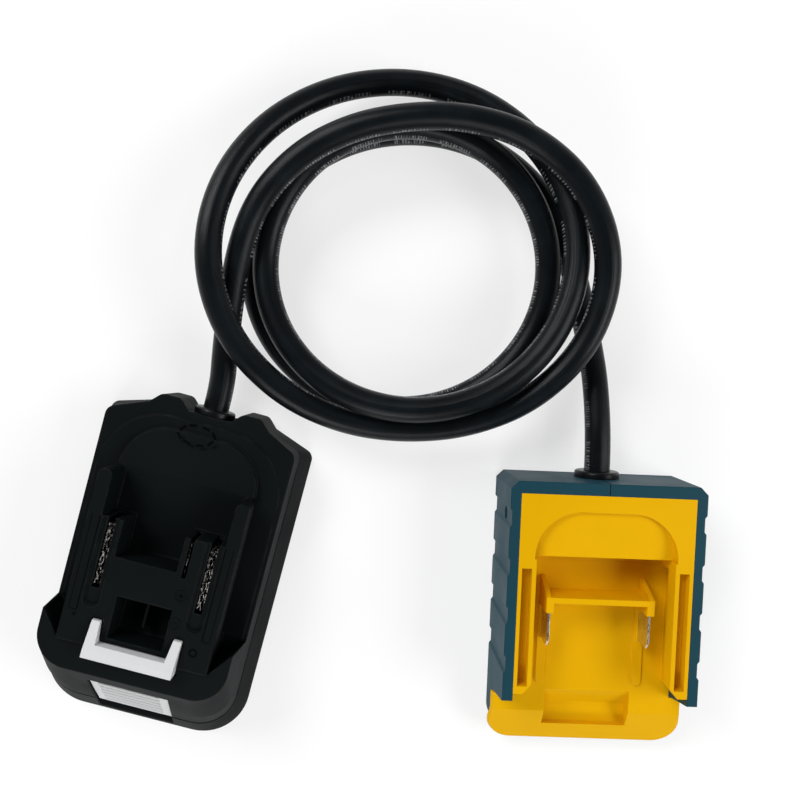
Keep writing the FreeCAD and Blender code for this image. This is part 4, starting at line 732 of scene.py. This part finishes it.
def make_block_grooves():
    """The grooves along the tops of the rails, and the two round marks that the ejector pins left, drawn as
    thin dark strips and rings of painted shade for their hollows.
    """
    bm = bmesh.new()
    top = PLATEAU + GROOVE_HEIGHT
    for side in (-1, 1):
        for reach, width in RAIL_GROOVES:
            left, right = side * reach - width / 2, side * reach + width / 2
            add_block(bm, (left, RAIL_GROOVE_ENDS[0], PLATEAU), (right, RAIL_GROOVE_ENDS[1], top))
        near, far = sorted(side * reach for reach, width in RAIL_GROOVES)
        add_block(bm, (near, CROSS_GROOVE[0], PLATEAU), (far, CROSS_GROOVE[1], top))
    for spot, radius, width in ROUND_MARKS:
        add_ring(bm, (*spot, PLATEAU), radius, width, ROUND_MARK_HEIGHT)
    finished("block_grooves", bm, PLUG, "black_shell", finish="recess")


# The line where the dummy pack's shells meet, a little outside their walls
PARTING_HALF = 37.53
PARTING_FRONT = -57.53
PARTING_REAR = 50.0
PARTING_CORNER = 15.0
PARTING_LEVEL = 10.0
PARTING_HEIGHT = 0.35
PARTING_THICKNESS = 0.08
NOTCH_HALF = 15.4
CORNER_STEPS = 12


def add_parting_band(bm, side):
    """A thin band round one side of the dummy pack, from near its cable end to its front notch."""
    levels = (PARTING_LEVEL - PARTING_HEIGHT / 2, PARTING_LEVEL + PARTING_HEIGHT / 2)
    start = [bm.verts.new((side * PARTING_HALF, PARTING_REAR, level)) for level in levels]
    turn_y = PARTING_FRONT + PARTING_CORNER
    turn_x = PARTING_HALF - PARTING_CORNER
    rim = drawn_out(bm, bm.edges.new(start), (0, turn_y - PARTING_REAR, 0))
    turned = bmesh.ops.spin(
        bm, geom=[rim, *rim.verts], cent=(side * turn_x, turn_y, PARTING_LEVEL), axis=(0, 0, 1),
        angle=-side * math.pi / 2, steps=CORNER_STEPS,
    )["geom_last"]
    rim = next(e for e in turned if isinstance(e, bmesh.types.BMEdge))
    drawn_out(bm, rim, (side * (NOTCH_HALF - turn_x), 0, 0))


def make_parting_line():
    """The dark line where the dummy pack's two shells meet."""
    bm = bmesh.new()
    for side in (-1, 1):
        add_parting_band(bm, side)
    bmesh.ops.remove_doubles(bm, verts=bm.verts, dist=MERGE)
    bmesh.ops.solidify(bm, geom=bm.faces[:], thickness=PARTING_THICKNESS)
    finished("parting_line", bm, PLUG, "black_shell", finish="recess")


# Pieces of the receiver, and the screws of both

SEAM_HALF = 0.15
SEAM_HEIGHT = 0.03
RIM_TOP = 32.0
RIM_ENDS = (77.6, 82.0)
SEAM_FOOT = 22.5


def make_seam_line():
    """The line between the receiver's halves, over its rear rim and down its rear wall."""
    bm = bmesh.new()
    inside, outside = RIM_ENDS
    top = RIM_TOP + SEAM_HEIGHT
    add_block(bm, (-SEAM_HALF, inside, RIM_TOP), (SEAM_HALF, outside, top))
    add_block(bm, (-SEAM_HALF, outside, SEAM_FOOT), (SEAM_HALF, outside + SEAM_HEIGHT, top))
    finished("seam_line", bm, RECEIVER, "teal_shell", finish="teal_recess")


PLUG_SCREWS = ((17.1, 61.0), (-14.1, 61.0), (29.0, -38.0), (-29.0, -38.0))
RECEIVER_SCREWS = ((26.5, 12.0), (26.5, 46.0), (-26.5, 12.0), (-26.5, 46.0))
HEAD_LEVEL = 2.0
CROSS_REACH = 1.5
CROSS_HALF = 0.35
CROSS_DEPTH = 0.05


def make_cross_recesses():
    """The cross recesses in the screw heads that show in the bases, drawn as thin dark crosses of painted
    shade for the hollows.
    """
    for name, unit, places in (
        ("plug_screw_recesses", PLUG, PLUG_SCREWS), ("receiver_screw_recesses", RECEIVER, RECEIVER_SCREWS),
    ):
        bm = bmesh.new()
        for x, y in places:
            for across, along in ((CROSS_REACH, CROSS_HALF), (CROSS_HALF, CROSS_REACH)):
                low = (x - across, y - along, HEAD_LEVEL - CROSS_DEPTH)
                add_block(bm, low, (x + across, y + along, HEAD_LEVEL))
        finished(name, bm, unit, "screw_steel", finish="recess")


make_camera()
dress_nodes()
squash_springs()
make_cable()
make_polarity_marks()
make_contact_leaves()
make_dash_ring()
make_button_ridges()
make_block_grooves()
make_parting_line()
make_seam_line()
make_cross_recesses()
make_studio()
bpy.context.scene.view_settings.view_transform = "Standard"
